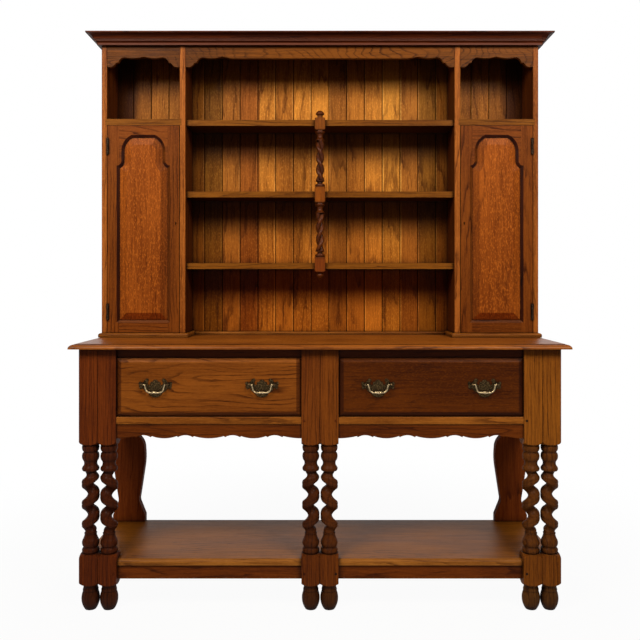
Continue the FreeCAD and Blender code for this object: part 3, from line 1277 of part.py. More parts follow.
def build_rack():
    """Uprights, shelves, back, mouldings and doors; shelves and hinge leaves cut their own housings."""
    hinges = [hinge(DOOR_BOTTOM + HINGE_INSET), hinge(DOOR_TOP - HINGE_INSET)]
    frame_leaves = [pair[0] for pair in hinges]
    mortise = build_doors([pair[1] for pair in hinges])

    spindle = baluster()
    shelves = []
    for top in SHELF_TOPS:
        shelf = box(-RACK_BAY - HOUSING, RACK_BAY + HOUSING, SHELF_FRONT, BOARD_FRONT,
                    top - SHELF_THICKNESS, top)
        shelves.append(shelf.cut(spindle))
    x0 = -CUPBOARD_OUTER
    x1 = -CUPBOARD_INNER
    inner_shelf = DOOR_TOP - CUPBOARD_SHELF_DROP
    left_boards = [box(x0 - HOUSING, x1 + HOUSING, RACK_FRONT, BOARD_FRONT, NICHE_BOTTOM, NICHE_TOP),
                   box(x0, x1, RACK_FRONT, BOARD_FRONT, WORKTOP_HEIGHT, WORKTOP_HEIGHT + PLINTH_HEIGHT),
                   box(x0 - HOUSING, x1 + HOUSING, RACK_FRONT + CUPBOARD_SHELF_SETBACK, BOARD_FRONT,
                       inner_shelf - CUPBOARD_SHELF, inner_shelf)]
    rebate = box(x0 - BOARD_REBATE, x0, BOARD_FRONT, BACK, WORKTOP_HEIGHT, RACK_UNDER_TOP)
    side = upright(-HALF_RACK, x0, BACK).cut(left_boards + frame_leaves + [rebate])
    partition = upright(x1, -RACK_BAY, BOARD_FRONT).cut(left_boards + shelves + [mortise])
    front, returned = cornice()

    save_pair("rack_side_{}", [side])
    save_pair("rack_partition_{}", [partition])
    save("rack_top", [box(-HALF_RACK, HALF_RACK, RACK_FRONT, BACK, RACK_UNDER_TOP, RACK_UNDER_TOP + RACK_TOP)])
    save("cornice_front", [front])
    save("cornice_returns", both([returned]))
    save_pair("frieze_{}", [frieze(x0, x1, False)])
    save("frieze_centre", [frieze(-RACK_BAY, RACK_BAY, True)])
    for name, shelf in zip(("upper", "middle", "lower"), shelves):
        save("shelf_" + name, [shelf])
    save("shelf_baluster", [spindle])
    save("cupboard_boards", both(left_boards))
    save("back_boards", back_boards())
    save("back_bead", [back_bead()])
    save("plinth_mouldings", both(plinth()))
    save("hinge_frame_leaves", both(frame_leaves))


os.makedirs("parts", exist_ok=True)
build_base()
build_drawers()
build_rack()
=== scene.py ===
# %% [markdown]
# # An oak welsh dresser
# The dresser is a potboard base on twist-turned legs with a plate rack standing on it. All of its joinery
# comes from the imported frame, so this lesson is about surfaces: how oak boards differ from each other,
# how wax and years of dusting darken the corners, and how the brass and iron catch the light.

import math

import bpy
import numpy as np
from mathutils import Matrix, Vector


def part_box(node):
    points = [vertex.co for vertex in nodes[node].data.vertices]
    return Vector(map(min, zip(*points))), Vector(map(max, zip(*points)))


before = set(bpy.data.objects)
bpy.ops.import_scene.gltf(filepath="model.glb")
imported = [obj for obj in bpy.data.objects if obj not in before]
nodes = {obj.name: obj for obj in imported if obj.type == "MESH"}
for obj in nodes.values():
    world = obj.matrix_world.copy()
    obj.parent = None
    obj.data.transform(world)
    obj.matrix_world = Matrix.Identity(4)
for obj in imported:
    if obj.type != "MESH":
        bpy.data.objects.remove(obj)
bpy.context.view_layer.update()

# %% [markdown]
# ## Node helpers
# A material is a graph of nodes. A few short helpers keep each recipe readable: one adds a node with its
# settings, and the others name the sums that come back again and again. Written out node by node, the
# same graph would hide what it does.

# %% Node helpers


def give(tree, socket, value):
    """Give an input its value: a link if the value is another socket, or else a number."""
    if isinstance(value, bpy.types.NodeSocket):
        tree.links.new(value, socket)
    else:
        socket.default_value = value


def add(tree, kind, inputs=None, **settings):
    """One shader node with its settings and its inputs."""
    node = tree.nodes.new("ShaderNode" + kind)
    for key, value in settings.items():
        setattr(node, key, value)
    for key, value in (inputs or {}).items():
        give(tree, node.inputs[key], value)
    return node


def maths(tree, operation, a, b=0.0, clamp=False):
    """The result of one Math node."""
    return add(tree, "Math", {0: a, 1: b}, operation=operation, use_clamp=clamp).outputs[0]


def product(tree, first, *others):
    """All the given values multiplied."""
    for value in others:
        first = maths(tree, "MULTIPLY", first, value)
    return first


def vector_maths(tree, operation, a, b):
    """The vector result of one Vector Math node."""
    return add(tree, "VectorMath", {0: a, 1: b}, operation=operation).outputs[0]


def parts(tree, vector):
    """The X, Y and Z of a vector."""
    return add(tree, "SeparateXYZ", {0: vector}).outputs


print("node helpers ready")

# %% [markdown]
# ## Masks and noise
# A mask is a number from zero to one that says where a tone lies. Most masks here are a measure, such as
# a height or a slope, carried smoothly from one level to another, because a hard step would look like a
# drawn line. Noise gives the rest: drawn out along one axis, it turns into grain.

# %% Masks and noise


def spread(tree, value, low, high, to_low=0.0, to_high=1.0):
    """A value carried smoothly from one range to another."""
    inputs = {"Value": value, "From Min": low, "From Max": high, "To Min": to_low, "To Max": to_high}
    return add(tree, "MapRange", inputs, interpolation_type="SMOOTHSTEP").outputs["Result"]


def below(tree, value, low, high):
    """One under the low level and zero over the high one, with a smooth fall between them."""
    return spread(tree, value, low, high, 1.0, 0.0)


def stripe(tree, value, start, full, fading, end):
    """A soft stripe that rises from start to full and falls from fading to end."""
    return product(tree, spread(tree, value, start, full), below(tree, value, fading, end))


def noise(tree, vector, size, detail=2.0, roughness=0.5):
    """A noise over a vector multiplied part by part, which sets its size along and across the grain."""
    inputs = {"Vector": vector_maths(tree, "MULTIPLY", vector, size), "Scale": 1.0, "Detail": detail,
              "Roughness": roughness}
    return add(tree, "TexNoise", inputs).outputs


print("mask helpers ready")

# %% [markdown]
# ## Colours and groups
# Stain and wax multiply what lies under them, so most tones below are factors on a colour and not new
# colours. An effect that many finishes share becomes a group with named sockets, so it is built once.

# %% Colours and groups


def rgb(red, green, blue):
    """A colour with full cover."""
    return (red, green, blue, 1.0)


def blended(tree, share, a, b, mode="MIX"):
    """Two colours mixed by a share."""
    node = add(tree, "Mix", data_type="RGBA", blend_type=mode, clamp_factor=True)
    for index, value in ((0, share), (6, a), (7, b)):
        give(tree, node.inputs[index], value)
    return node.outputs[2]


def tinted(tree, share, colour, factor):
    """A colour multiplied by a factor where the share is one."""
    return blended(tree, share, colour, blended(tree, 1.0, colour, rgb(*factor), "MULTIPLY"))


def group(name, inputs, outputs):
    """An empty node group with typed sockets, and its input and output sockets."""
    tree = bpy.data.node_groups.new(name, "ShaderNodeTree")
    for label, kind, value in inputs:
        socket = tree.interface.new_socket(label, in_out="INPUT", socket_type="NodeSocket" + kind)
        if value is not None:
            socket.default_value = value
    for label, kind in outputs:
        tree.interface.new_socket(label, in_out="OUTPUT", socket_type="NodeSocket" + kind)
    return tree, tree.nodes.new("NodeGroupInput").outputs, tree.nodes.new("NodeGroupOutput").inputs


def placed_group(tree, source, inputs):
    """A group node's outputs, with its inputs linked or set."""
    node = tree.nodes.new("ShaderNodeGroup")
    node.node_tree = source
    for key, value in inputs.items():
        give(tree, node.inputs[key], value)
    return node.outputs


def new_material(name):
    """An empty material with its tree and its Principled shader."""
    material = bpy.data.materials.new(name)
    material.use_nodes = True
    tree = material.node_tree
    return material, tree, tree.nodes["Principled BSDF"]


print("colour helpers ready")

# %% [markdown]
# ## Rings
# A board is a slice through a trunk, so its figure can be worked out the way the tree made it: rings are
# shells about a pith line, the pith wanders along the trunk, and a board cut near it shows flames while a
# board cut far from it shows straight lines. Painting lines on each face would be quicker, but then the
# lines would not turn the corner of a board. Here the distance from a wandering line gives rings on every
# face at once.

# %% Rings
SWAY_SIZE = (2.0, 7.0, 7.0)
NOISE_MIDDLE = (0.5, 0.5, 0.5)
RIPPLE_SIZE = (11.0, 75.0, 75.0)
RIPPLE_SHARE = 0.95
LINE_FADE = 0.30
LINE_START = 0.95
PATCH_SIZE = (6.0, 30.0, 30.0)
PATCH_RANGE = (0.32, 0.64)
FAINTEST_LINE = 0.10


def pith_distance(tree, vector, given):
    """The distance from a pith line that leans along the grain by the tilt and wanders slowly."""
    sway = vector_maths(tree, "SUBTRACT", noise(tree, vector, SWAY_SIZE, 1.0)["Color"], NOISE_MIDDLE)
    shift = add(tree, "VectorMath", {0: sway, "Scale": given["Wander"]}, operation="SCALE").outputs[0]
    place = parts(tree, vector_maths(tree, "ADD", vector, shift))
    lean = product(tree, place["X"], given["Tilt"])
    depth = maths(tree, "ADD", maths(tree, "ADD", place["Y"], given["Pith Depth"]), lean)
    squares = maths(tree, "ADD", product(tree, depth, depth), product(tree, place["Z"], place["Z"]))
    return maths(tree, "SQRT", squares)


def ring_lines(tree, vector, given):
    """A thin dark line at the start of each ring, fainter in patches.

    The ring number is the distance from the pith over the ring width, and a ripple makes it uneven.
    """
    rings = maths(tree, "DIVIDE", pith_distance(tree, vector, given), given["Ring Width"])
    ripple = product(tree, noise(tree, vector, RIPPLE_SIZE, 3.0)["Fac"], RIPPLE_SHARE)
    saw = maths(tree, "FRACT", maths(tree, "ADD", rings, ripple))
    line = maths(tree, "SUBTRACT", 1.0, stripe(tree, saw, 0.0, LINE_FADE, LINE_START, 1.0))
    cloud = noise(tree, vector, PATCH_SIZE, 1.0)["Fac"]
    return product(tree, line, spread(tree, cloud, *PATCH_RANGE, FAINTEST_LINE, 1.0))


print("ring lines ready")

# %% [markdown]
# ## Fibres, pores and flecks
# Between the ring lines oak has long soft fibres, open pores that hold dark wax, and short bright dashes
# where the rays of the tree come to the surface. Modelled as scratches they would need millions of faces.
# Each is a noise drawn out along the grain instead, and only the sizes differ.

# %% Fibres and pores
FIBRES = (((3.0, 85.0, 85.0), 0.30), ((7.0, 240.0, 240.0), 0.40), ((18.0, 560.0, 560.0), 0.30))
FIBRE_RANGE = (0.36, 0.64)
COARSE_SIZE = (24.0, 700.0, 700.0)
COARSE_RANGE = (0.54, 0.70)
FINE_SIZE = (60.0, 1900.0, 1900.0)
FINE_RANGE = (0.56, 0.74)
PORES_BETWEEN = 0.45
FLECK_SIZE = (120.0, 340.0, 340.0)
FLECK_RANGE = (0.50, 0.70)
DRIFT_SIZE = (1.6, 7.0, 7.0)


def fibre_streaks(tree, vector):
    """The sum of three noises, from broad bands to thin fibres, each with its weight."""
    total = 0.0
    for size, weight in FIBRES:
        fibre = spread(tree, noise(tree, vector, size, 1.0)["Fac"], *FIBRE_RANGE)
        total = maths(tree, "ADD", product(tree, fibre, weight), total)
    return total


def open_pores(tree, vector, lines):
    """Coarse and fine pores, which crowd together in the ring lines and are fainter between them."""
    coarse = spread(tree, noise(tree, vector, COARSE_SIZE, 1.0)["Fac"], *COARSE_RANGE)
    fine = spread(tree, noise(tree, vector, FINE_SIZE, 0.0)["Fac"], *FINE_RANGE)
    crowding = maths(tree, "ADD", product(tree, lines, 1.0 - PORES_BETWEEN), PORES_BETWEEN)
    return product(tree, maths(tree, "ADD", coarse, fine, clamp=True), crowding)


def oak_figure():
    """Rings, fibres, pores, flecks and a slow drift of tone; the point's X runs along the grain."""
    tree, given, out = group(
        "Oak figure",
        [("Vector", "Vector", None), ("Ring Width", "Float", 0.012), ("Pith Depth", "Float", 0.08),
         ("Tilt", "Float", 0.05), ("Wander", "Float", 0.03)],
        [(label, "Float") for label in ("Lines", "Streaks", "Pores", "Flecks", "Drift")])
    vector = given["Vector"]
    lines = ring_lines(tree, vector, given)
    made = {
        "Lines": lines,
        "Streaks": fibre_streaks(tree, vector),
        "Pores": open_pores(tree, vector, lines),
        "Flecks": spread(tree, noise(tree, vector, FLECK_SIZE, 1.0)["Fac"], *FLECK_RANGE),
        "Drift": noise(tree, vector, DRIFT_SIZE)["Fac"],
    }
    for label, socket in made.items():
        give(tree, out[label], socket)
    return tree


FIGURE = oak_figure()
print("group:", FIGURE.name, len(FIGURE.nodes), "nodes")

# %% [markdown]
# ## Wax, grime, painted shade and rubbed faces
# Old waxed oak is darker where a cloth never reaches and a little paler where it always does. Ambient
# occlusion measures the first: how much of the sky a point sees. The same measure taken inside the wood
# tells a broad face, which a cloth rubs, from the strip beside an arris, where the wax stays. The dark in
# hollows and tight corners is partly grime and partly painted shade.

# %% Patina group
SHELTER_REACH = 0.030
SHELTER_RANGE = (0.25, 0.95)
CREVICE_REACH = 0.007
CREVICE_RANGE = (0.50, 0.93)
FACE_REACH = 0.004
FACE_RANGE = (0.35, 0.75)
RUBBED_TONE = (2.2, 2.3, 2.8)


def openness(tree, reach, **settings):
    """The open share of the hemisphere over a point, within a reach in metres."""
    return add(tree, "AmbientOcclusion", {"Distance": reach}, samples=4, **settings).outputs["AO"]


def patina():
    """Colour darkened in hollows and tight corners, partly by dirt and partly as painted shade,
    and rubbed paler on broad faces.

    Shelter is one minus the open share of the hemisphere, and a crevice is the same within a few
    millimetres. A broad face is where the inside of the solid is open, as it is not beside an arris.
    """
    tree, given, out = group(
        "Patina",
        [("Colour", "Color", rgb(0.3, 0.1, 0.03)), ("Grime", "Color", rgb(0.03, 0.01, 0.004)),
         ("Grime Amount", "Float", 0.7), ("Wear Amount", "Float", 0.2)],
        [("Colour", "Color")])
    # Painted shade and dirt: hollows and tight corners darken towards the dark tone.
    shelter = below(tree, openness(tree, SHELTER_REACH), *SHELTER_RANGE)
    crevice = below(tree, openness(tree, CREVICE_REACH), *CREVICE_RANGE)
    dark = maths(tree, "MAXIMUM", product(tree, shelter, given["Grime Amount"]), crevice)
    face = spread(tree, openness(tree, FACE_REACH, inside=True, only_local=True), *FACE_RANGE)
    rubbed = tinted(tree, product(tree, face, given["Wear Amount"]), given["Colour"], RUBBED_TONE)
    give(tree, out["Colour"], blended(tree, dark, rubbed, given["Grime"]))
    return tree


PATINA = patina()
print("group:", PATINA.name, len(PATINA.nodes), "nodes")

# %% [markdown]
# ## One recipe for every oak piece
# Each piece is cut from its own board: the grain runs along its length, the figure starts somewhere else
# in the trunk, and its tone differs a little. One material for all would make the dresser look cast in
# one lump. So the recipe takes the grain's direction, a place in the trunk and two tones, and a tone of
# its own for a piece that differs from end to end; on many pieces that tone is painted light and shade.

# %% Oak recipe
GRAIN_TURN = {"x": (0.0, 0.0, 0.0), "y": (0.0, 0.0, -math.pi / 2), "z": (0.0, math.pi / 2, 0.0)}
# The dark tone for hollows and corners, which stands for dirt and for painted shade.
GRIME_AND_SHADE_TONE = rgb(0.012, 0.0035, 0.0015)
FIBRE_DEPTH = 0.6
DRIFT_RANGES = (0.25, 0.75, 0.40, 1.15)
FLECK_TONE = (1.6, 1.8, 2.0)
RING_TONE = (0.34, 0.27, 0.25)
PORE_TONE = (0.30, 0.25, 0.25)
PORE_MATT = 0.22
DRIFT_MATT = 0.16
FIBRE_RELIEF = 0.30
OAK_RELIEF = {"Strength": 0.25, "Distance": 0.0007}
WAX_SPECULAR = 0.06
WAX_ROUGHNESS = 0.30
FINISH = {}


def oak_colour(tree, look, tones, streaks, lines, pores, flecks):
    """Fibres between a light and a dark tone, then pale flecks, dark ring lines and darker pores."""
    light, dark = tones
    fibre = maths(tree, "ADD", product(tree, look["Streaks"], streaks), 1.0 - FIBRE_DEPTH * streaks)
    drift = spread(tree, look["Drift"], *DRIFT_RANGES)
    colour = blended(tree, maths(tree, "MULTIPLY", fibre, drift, clamp=True), dark, light)
    flare = rgb(*np.multiply(FLECK_TONE, light[:3]))
    colour = blended(tree, product(tree, look["Flecks"], flecks), colour, flare)
    colour = tinted(tree, product(tree, look["Lines"], lines), colour, RING_TONE)
    return tinted(tree, product(tree, look["Pores"], pores), colour, PORE_TONE)


# The grime amount darkens hollows and corners, as dirt and as painted shade.
def oak(name, grain, tones, place=(0.0, 0.0, 0.0), ring=0.012, pith=0.09, tilt=0.04, wander=0.05,
        lines=0.80, streaks=0.9, pores=0.75, flecks=0.12, grime_and_shade=0.8, wear=0.30, gloss=0.36, polish=0.02,
        tone=None, cut=None):
    """An oak finish under wax: the figure's colour, the piece's own tone, which on many pieces is painted
    light and shade, a patina that holds painted shade, open pores and a satin coat.
    """
    material, tree, shader = new_material(name)
    point = add(tree, "TexCoord").outputs["Object"]
    turn = {"Vector": point, "Rotation": GRAIN_TURN[grain], "Location": place}
    along = add(tree, "Mapping", turn).outputs[0]
    if cut is not None:
        along = cut(tree, point, along)
    figure = {"Vector": along, "Ring Width": ring, "Pith Depth": pith, "Tilt": tilt, "Wander": wander}
    look = placed_group(tree, FIGURE, figure)
    colour = oak_colour(tree, look, tones, streaks, lines, pores, flecks)
    if tone is not None:
        colour = tone(tree, point, colour)
    age = {"Colour": colour, "Grime": GRIME_AND_SHADE_TONE, "Grime Amount": grime_and_shade, "Wear Amount": wear}
    give(tree, shader.inputs["Base Color"], placed_group(tree, PATINA, age)["Colour"])
    pore_matt = product(tree, look["Pores"], PORE_MATT)
    matt = maths(tree, "ADD", pore_matt, product(tree, look["Drift"], DRIFT_MATT))
    give(tree, shader.inputs["Roughness"], maths(tree, "ADD", matt, gloss))
    relief = maths(tree, "SUBTRACT", product(tree, look["Streaks"], FIBRE_RELIEF), look["Pores"])
    bump = add(tree, "Bump", {"Height": relief, **OAK_RELIEF})
    give(tree, shader.inputs["Normal"], bump.outputs["Normal"])
    shader.inputs["Specular IOR Level"].default_value = WAX_SPECULAR
    shader.inputs["Coat Weight"].default_value = polish
    shader.inputs["Coat Roughness"].default_value = WAX_ROUGHNESS
    FINISH[name] = material


print("oak recipe ready")

# %% [markdown]
# ## Stains
# The joiner's stain is one liquid, laid on thin or thick, so one function of how pale it left the wood
# gives all the browns. Picking each colour by hand would lose that family likeness.

# %% Stains
LIGHT_OAK = (0.350, 0.112, 0.017)
DARK_OAK = (0.105, 0.022, 0.0025)
RAW = (rgb(0.46, 0.27, 0.12), rgb(0.28, 0.145, 0.055))


def stain(pale, green=1.0, blue=1.0):
    """The light and the dark tone of a stained board: less pale is a thicker stain, less green a redder.

    Red is in step with the paleness, green with it times a share, blue with its square times a share.
    """
    share = (pale, pale * green, pale * pale * blue)
    return rgb(*np.multiply(LIGHT_OAK, share)), rgb(*np.multiply(DARK_OAK, share))


print("tones of a thin stain:", np.round(stain(1.0), 4).tolist())

# %% [markdown]
# ## Tones of the legs, pegs and baluster
# One finish does not cover a whole leg: the turned stretches took more stain than the planed blocks, and
# painted shade darkens the lower blocks and, most of all, the feet. Splitting the leg would give hard
# borders, so each tone is a factor that depends on the height, with a soft edge.

# %% Tones of turned pieces
FLOOR_BELOW = -1.0
FOOT_TOP = 0.080
LOWER_BLOCK_TOP = 0.180
UPPER_BLOCK_BOTTOM = 0.527
SOFT_EDGE = 0.006
LEFT_TO_RIGHT = (-0.45, 0.75)
RIGHT_LEGS = (1.85, 3.00, 3.00)
# Lower blocks and feet: painted shade, darker towards the floor; turned stretches: a darker stain.
LEG_STAIN_AND_SHADE_BANDS = ((FOOT_TOP, LOWER_BLOCK_TOP, (0.78, 0.72, 0.64)),
             (LOWER_BLOCK_TOP, UPPER_BLOCK_BOTTOM, (0.45, 0.44, 0.72)),
             (FLOOR_BELOW, FOOT_TOP, (0.36, 0.43, 0.95)))
PEG_MIDDLE = (0.02, 0.03)
PEG_UPPER = (0.30, 0.40)
PEG_OUTER = (0.30, 0.40)
# Pegs in the lower blocks get the legs' painted shade there.
PEG_LOW_SHADE = (0.74, 0.64, 0.60)
PEG_DARK = rgb(0.012, 0.005, 0.002)
BALUSTER_BLOCK = 0.026
BALUSTER_BLOCKS = {"shelf_lower": (1.70, 1.60, 1.40), "shelf_middle": (2.60, 3.20, 3.40),
                   "shelf_upper": (2.30, 3.00, 3.20)}


def between(tree, value, low, high):
    """One between two levels and zero outside, with soft edges."""
    return stripe(tree, value, low - SOFT_EDGE, low + SOFT_EDGE, high - SOFT_EDGE, high + SOFT_EDGE)


def leg_tone(tree, point, colour):
    """Turned work is darker than the square blocks, painted shade darkens the lower blocks and most of all
    the feet, and right-hand legs are paler.
    """
    place = parts(tree, point)
    colour = tinted(tree, spread(tree, place["X"], *LEFT_TO_RIGHT), colour, RIGHT_LEGS)
    for low, high, factor in LEG_STAIN_AND_SHADE_BANDS:
        colour = tinted(tree, between(tree, place["Z"], low, high), colour, factor)
    return colour


def peg_tone(tree, point, colour):
    """Three pegs on the right have darkened end grain; the others match the legs round them, with their
    painted shade in the lower blocks.
    """
    place = parts(tree, point)
    right = spread(tree, place["X"], *PEG_MIDDLE)
    upper = spread(tree, place["Z"], *PEG_UPPER)
    upper_middle = product(tree, upper, below(tree, place["X"], *PEG_OUTER))
    dark = product(tree, right, maths(tree, "SUBTRACT", 1.0, upper_middle))
    low = tinted(tree, between(tree, place["Z"], FOOT_TOP, LOWER_BLOCK_TOP), colour, PEG_LOW_SHADE)
    return blended(tree, dark, low, PEG_DARK)


def baluster_tone(tree, point, colour):
    """The square blocks that meet the shelves are planed, so they are as pale as the shelf edges."""
    level = parts(tree, point)["Z"]
    for shelf, factor in BALUSTER_BLOCKS.items():
        low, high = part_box(shelf)
        middle = 0.5 * (low[2] + high[2])
        block = between(tree, level, middle - BALUSTER_BLOCK, middle + BALUSTER_BLOCK)
        colour = tinted(tree, block, colour, factor)
    return colour


print("leg bands:", len(LEG_STAIN_AND_SHADE_BANDS), "baluster blocks:", len(BALUSTER_BLOCKS))

# %% [markdown]
# ## Which tree each back board came from
# The boards at the back of the rack were sawn from several trees, so their browns differ from one to the
# next. A word for each board's tree is easier to read than a row of colours, and a stepped ramp turns the
# words into tones.

# %% Back boards
TREES = {"brown": (0.70, 0.66, 0.76), "olive": (0.64, 0.68, 0.66), "tan": (0.90, 0.88, 1.15),
         "red": (0.82, 0.68, 0.85), "gold": (1.14, 1.12, 1.35), "bright": (1.42, 1.48, 1.85),
         "pale": (1.42, 1.60, 2.00)}
BOARDS = ("brown brown gold gold brown olive tan red bright gold bright bright tan gold bright pale tan "
          "olive brown gold gold brown brown").split()
RAMP_RANGE = 2.0
BOARD_SHIFT = (5.0, 0.25, 0.40)


def board_place(tree, point):
    """How far across the back a point lies, in boards from the left."""
    low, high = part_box("back_boards")
    across = maths(tree, "SUBTRACT", parts(tree, point)["X"], low[0])
    return product(tree, across, len(BOARDS) / (high[0] - low[0]))


def board_cut(tree, point, along):
    """Each board is cut from another place in the trunk: a random shift for each board number."""
    number = maths(tree, "FLOOR", board_place(tree, point))
    pick = add(tree, "TexWhiteNoise", {"W": number}, noise_dimensions="1D").outputs["Color"]
    return vector_maths(tree, "ADD", along, vector_maths(tree, "MULTIPLY", pick, BOARD_SHIFT))


def board_tree(tree, point, colour):
    """A stepped ramp over the boards; tones go up to two, so the ramp holds halves and is doubled."""
    ramp = add(tree, "ValToRGB", {0: maths(tree, "DIVIDE", board_place(tree, point), len(BOARDS))})
    ramp.color_ramp.interpolation = "CONSTANT"
    stops = ramp.color_ramp.elements
    while len(stops) < len(BOARDS):
        stops.new(1.0)
    for index, tree_name in enumerate(BOARDS):
        stops[index].position = index / len(BOARDS)
        stops[index].color = rgb(*(value / RAMP_RANGE for value in TREES[tree_name]))
    doubled = tinted(tree, 1.0, colour, (RAMP_RANGE, RAMP_RANGE, RAMP_RANGE))
    return blended(tree, 1.0, doubled, ramp.outputs["Color"], "MULTIPLY")


print("boards:", len(BOARDS), "trees:", len(TREES))

# %% [markdown]
# ## Light and dark on the back boards
# Each joint between two boards has a painted highlight on its arris, on the side that looks to the
# middle. Under the ledges and in the outer corners painted shade darkens the boards. The shade belongs
# to the front faces only, so the back of the rack stays plain.

# %% Light and dark on the back boards
# Painted shade under each ledge: a factor for each.
LEDGE_SHADES = {"shelf_lower": (0.56, 0.42, 0.46), "shelf_middle": (0.22, 0.17, 0.19),
          "shelf_upper": (0.22, 0.17, 0.19), "rack_top": (0.22, 0.17, 0.19)}
SHADE_REACH = 0.17
SHADE_FULL = 0.02
LOW_BOARDS = (0.80, 0.60, 0.36)
LOW_BOARDS_END = 0.25
RIGHT_ARRIS = (0.925, 0.940, 0.965, 0.975)
LEFT_ARRIS = (0.025, 0.035, 0.060, 0.075)
# A painted highlight on the board arrises.
ARRIS_HIGHLIGHT = (1.45, 1.75, 2.80)
FRONT_FACE = (-0.5, 0.0)
# Painted shade in the two outer corners.
CORNER_START = 0.105
CORNER_FULL = 0.060
CORNER_SHADE = (0.26, 0.20, 0.20)


def facing(tree):
    """The parts of the surface normal in the piece's own frame, so a tone moves along with its door."""
    return parts(tree, add(tree, "TexCoord").outputs["Normal"])


def board_arris_highlight(tree, point):
    """A thin stripe for the painted highlight beside each joint: right on the left-hand boards, left on
    the right-hand ones.
    """
    across = maths(tree, "FRACT", board_place(tree, point))
    left_half = maths(tree, "LESS_THAN", board_place(tree, point), len(BOARDS) / 2)
    sides = {2: stripe(tree, across, *LEFT_ARRIS), 3: stripe(tree, across, *RIGHT_ARRIS)}
    return add(tree, "Mix", {0: left_half, **sides}).outputs[0]


def board_tone(tree, point, colour):
    """The tone of each board's tree, redder low down, with a painted highlight on the arrises.

    Painted shade darkens it within a short reach under each ledge and in the two outer corners.
    """
    low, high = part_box("back_boards")
    place = parts(tree, point)
    lower = below(tree, place["Z"], low[2], high[2] - LOW_BOARDS_END)
    board = tinted(tree, lower, board_tree(tree, point, colour), LOW_BOARDS)
    board = tinted(tree, board_arris_highlight(tree, point), board, ARRIS_HIGHLIGHT)
    front = below(tree, facing(tree)["Y"], *FRONT_FACE)
    outward = maths(tree, "ABSOLUTE", place["X"])
    corner_shade = spread(tree, outward, high[0] - CORNER_START, high[0] - CORNER_FULL)
    board = tinted(tree, product(tree, front, corner_shade), board, CORNER_SHADE)
    for ledge, factor in LEDGE_SHADES.items():
        first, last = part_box(ledge)
        ledge_shade = spread(tree, place["Z"], first[2] - SHADE_REACH, first[2] - SHADE_FULL)
        under = maths(tree, "LESS_THAN", place["Z"], first[2])
        within = between(tree, place["X"], first[0], last[0])
        board = tinted(tree, product(tree, ledge_shade, under, front, within), board, factor)
    return board


print("ledges:", len(LEDGE_SHADES))

# %% [markdown]
# ## Tones of the drawer fronts
# The sloping edges round a drawer front get painted shade at the sides and foot and a painted highlight
# at the top. The front's own box says where those edges are, so no extra piece is needed.

# %% Tones of the drawer fronts
FIELD_EDGE = 0.0135
FIELD_SOFT = 0.003
# Painted shade on the sloping sides and foot, a painted highlight on the top slope.
FIELD_SLOPE_SHADE = (0.48, 0.42, 0.40)
FIELD_HEAD_HIGHLIGHT = (1.35, 1.45, 1.70)


def fielded_tone(node):
    """A tone for a drawer front: painted shade on its sloping sides and foot, a painted highlight on the
    top one.
    """
    low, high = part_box(node)

    def tone(tree, point, colour):
        place = parts(tree, point)
        edges = {}
        for axis, index in (("X", 0), ("Z", 2)):
            start = low[index] + FIELD_EDGE
            end = high[index] - FIELD_EDGE
            edges[axis] = (below(tree, place[axis], start, start + FIELD_SOFT),
                           spread(tree, place[axis], end - FIELD_SOFT, end))
        foot, head = edges["Z"]
        shaded_slopes = maths(tree, "MAXIMUM", foot, maths(tree, "MAXIMUM", *edges["X"]))
        return tinted(tree, head, tinted(tree, shaded_slopes, colour, FIELD_SLOPE_SHADE), FIELD_HEAD_HIGHLIGHT)

    return tone


print("drawer tones ready")

# %% [markdown]
# ## Tones of the doors
# On a door, the moulding on the hinge side and the one under the top rail get painted shade, and the
# other mouldings a painted highlight. The mouldings follow an arch, so a mask by place would be hard to
# draw. These tones
# read the slope of the surface instead, in the door's own frame, so they stay right when the door swings.

# %% Tones of the doors
MOULDING_SLOPE = (0.89, 0.97)
MOULDING_TURN = (-0.3, 0.3)
# A painted highlight and painted shade on the door mouldings.
MOULDING_HIGHLIGHT = rgb(1.30, 1.40, 1.60)
MOULDING_SHADE = rgb(0.17, 0.11, 0.14)
BEVEL_SLOPE = (0.980, 0.994)
BEVEL_LOCK_SIDE = (-0.12, 0.0)
# Painted shade on the panel bevel.
BEVEL_LOCK_SHADE = (0.62, 0.60, 0.60)
BEVEL_FOOT = (-0.20, -0.05)
BEVEL_FOOT_SHADE = (0.60, 0.44, 0.46)


def outward_lean(tree, point):
    """How far the surface leans away from the dresser's middle; it is negative where it looks there."""
    return product(tree, facing(tree)["X"], maths(tree, "SIGN", parts(tree, point)["X"]))


def door_frame_tone(tree, point, colour):
    """Painted shade in two of the mouldings, and a painted highlight on the other two.

    A moulding is where the surface leans out of the door's plane. The hinges are on the outer side of
    each door, so the moulding beside them looks to the middle; the one under the top rail looks down.
    """
    lean = facing(tree)
    sloped = below(tree, maths(tree, "ABSOLUTE", lean["Y"]), *MOULDING_SLOPE)
    inward = product(tree, outward_lean(tree, point), -1.0)
    shaded_side = maths(tree, "MAXIMUM", inward, product(tree, lean["Z"], -1.0))
    factor = blended(tree, spread(tree, shaded_side, *MOULDING_TURN), MOULDING_HIGHLIGHT, MOULDING_SHADE)
    return blended(tree, sloped, colour, blended(tree, 1.0, colour, factor, "MULTIPLY"))


def door_panel_tone(tree, point, colour):
    """The bevel round the raised field gets painted shade: browner on the lock side, which looks to the
    middle, and reddest along the foot, which looks down.
    """
    lean = facing(tree)
    bevel = below(tree, maths(tree, "ABSOLUTE", lean["Y"]), *BEVEL_SLOPE)
    lock = product(tree, bevel, below(tree, outward_lean(tree, point), *BEVEL_LOCK_SIDE))
    foot = product(tree, bevel, below(tree, lean["Z"], *BEVEL_FOOT))
    return tinted(tree, foot, tinted(tree, lock, colour, BEVEL_LOCK_SHADE), BEVEL_FOOT_SHADE)


print("door tones ready")

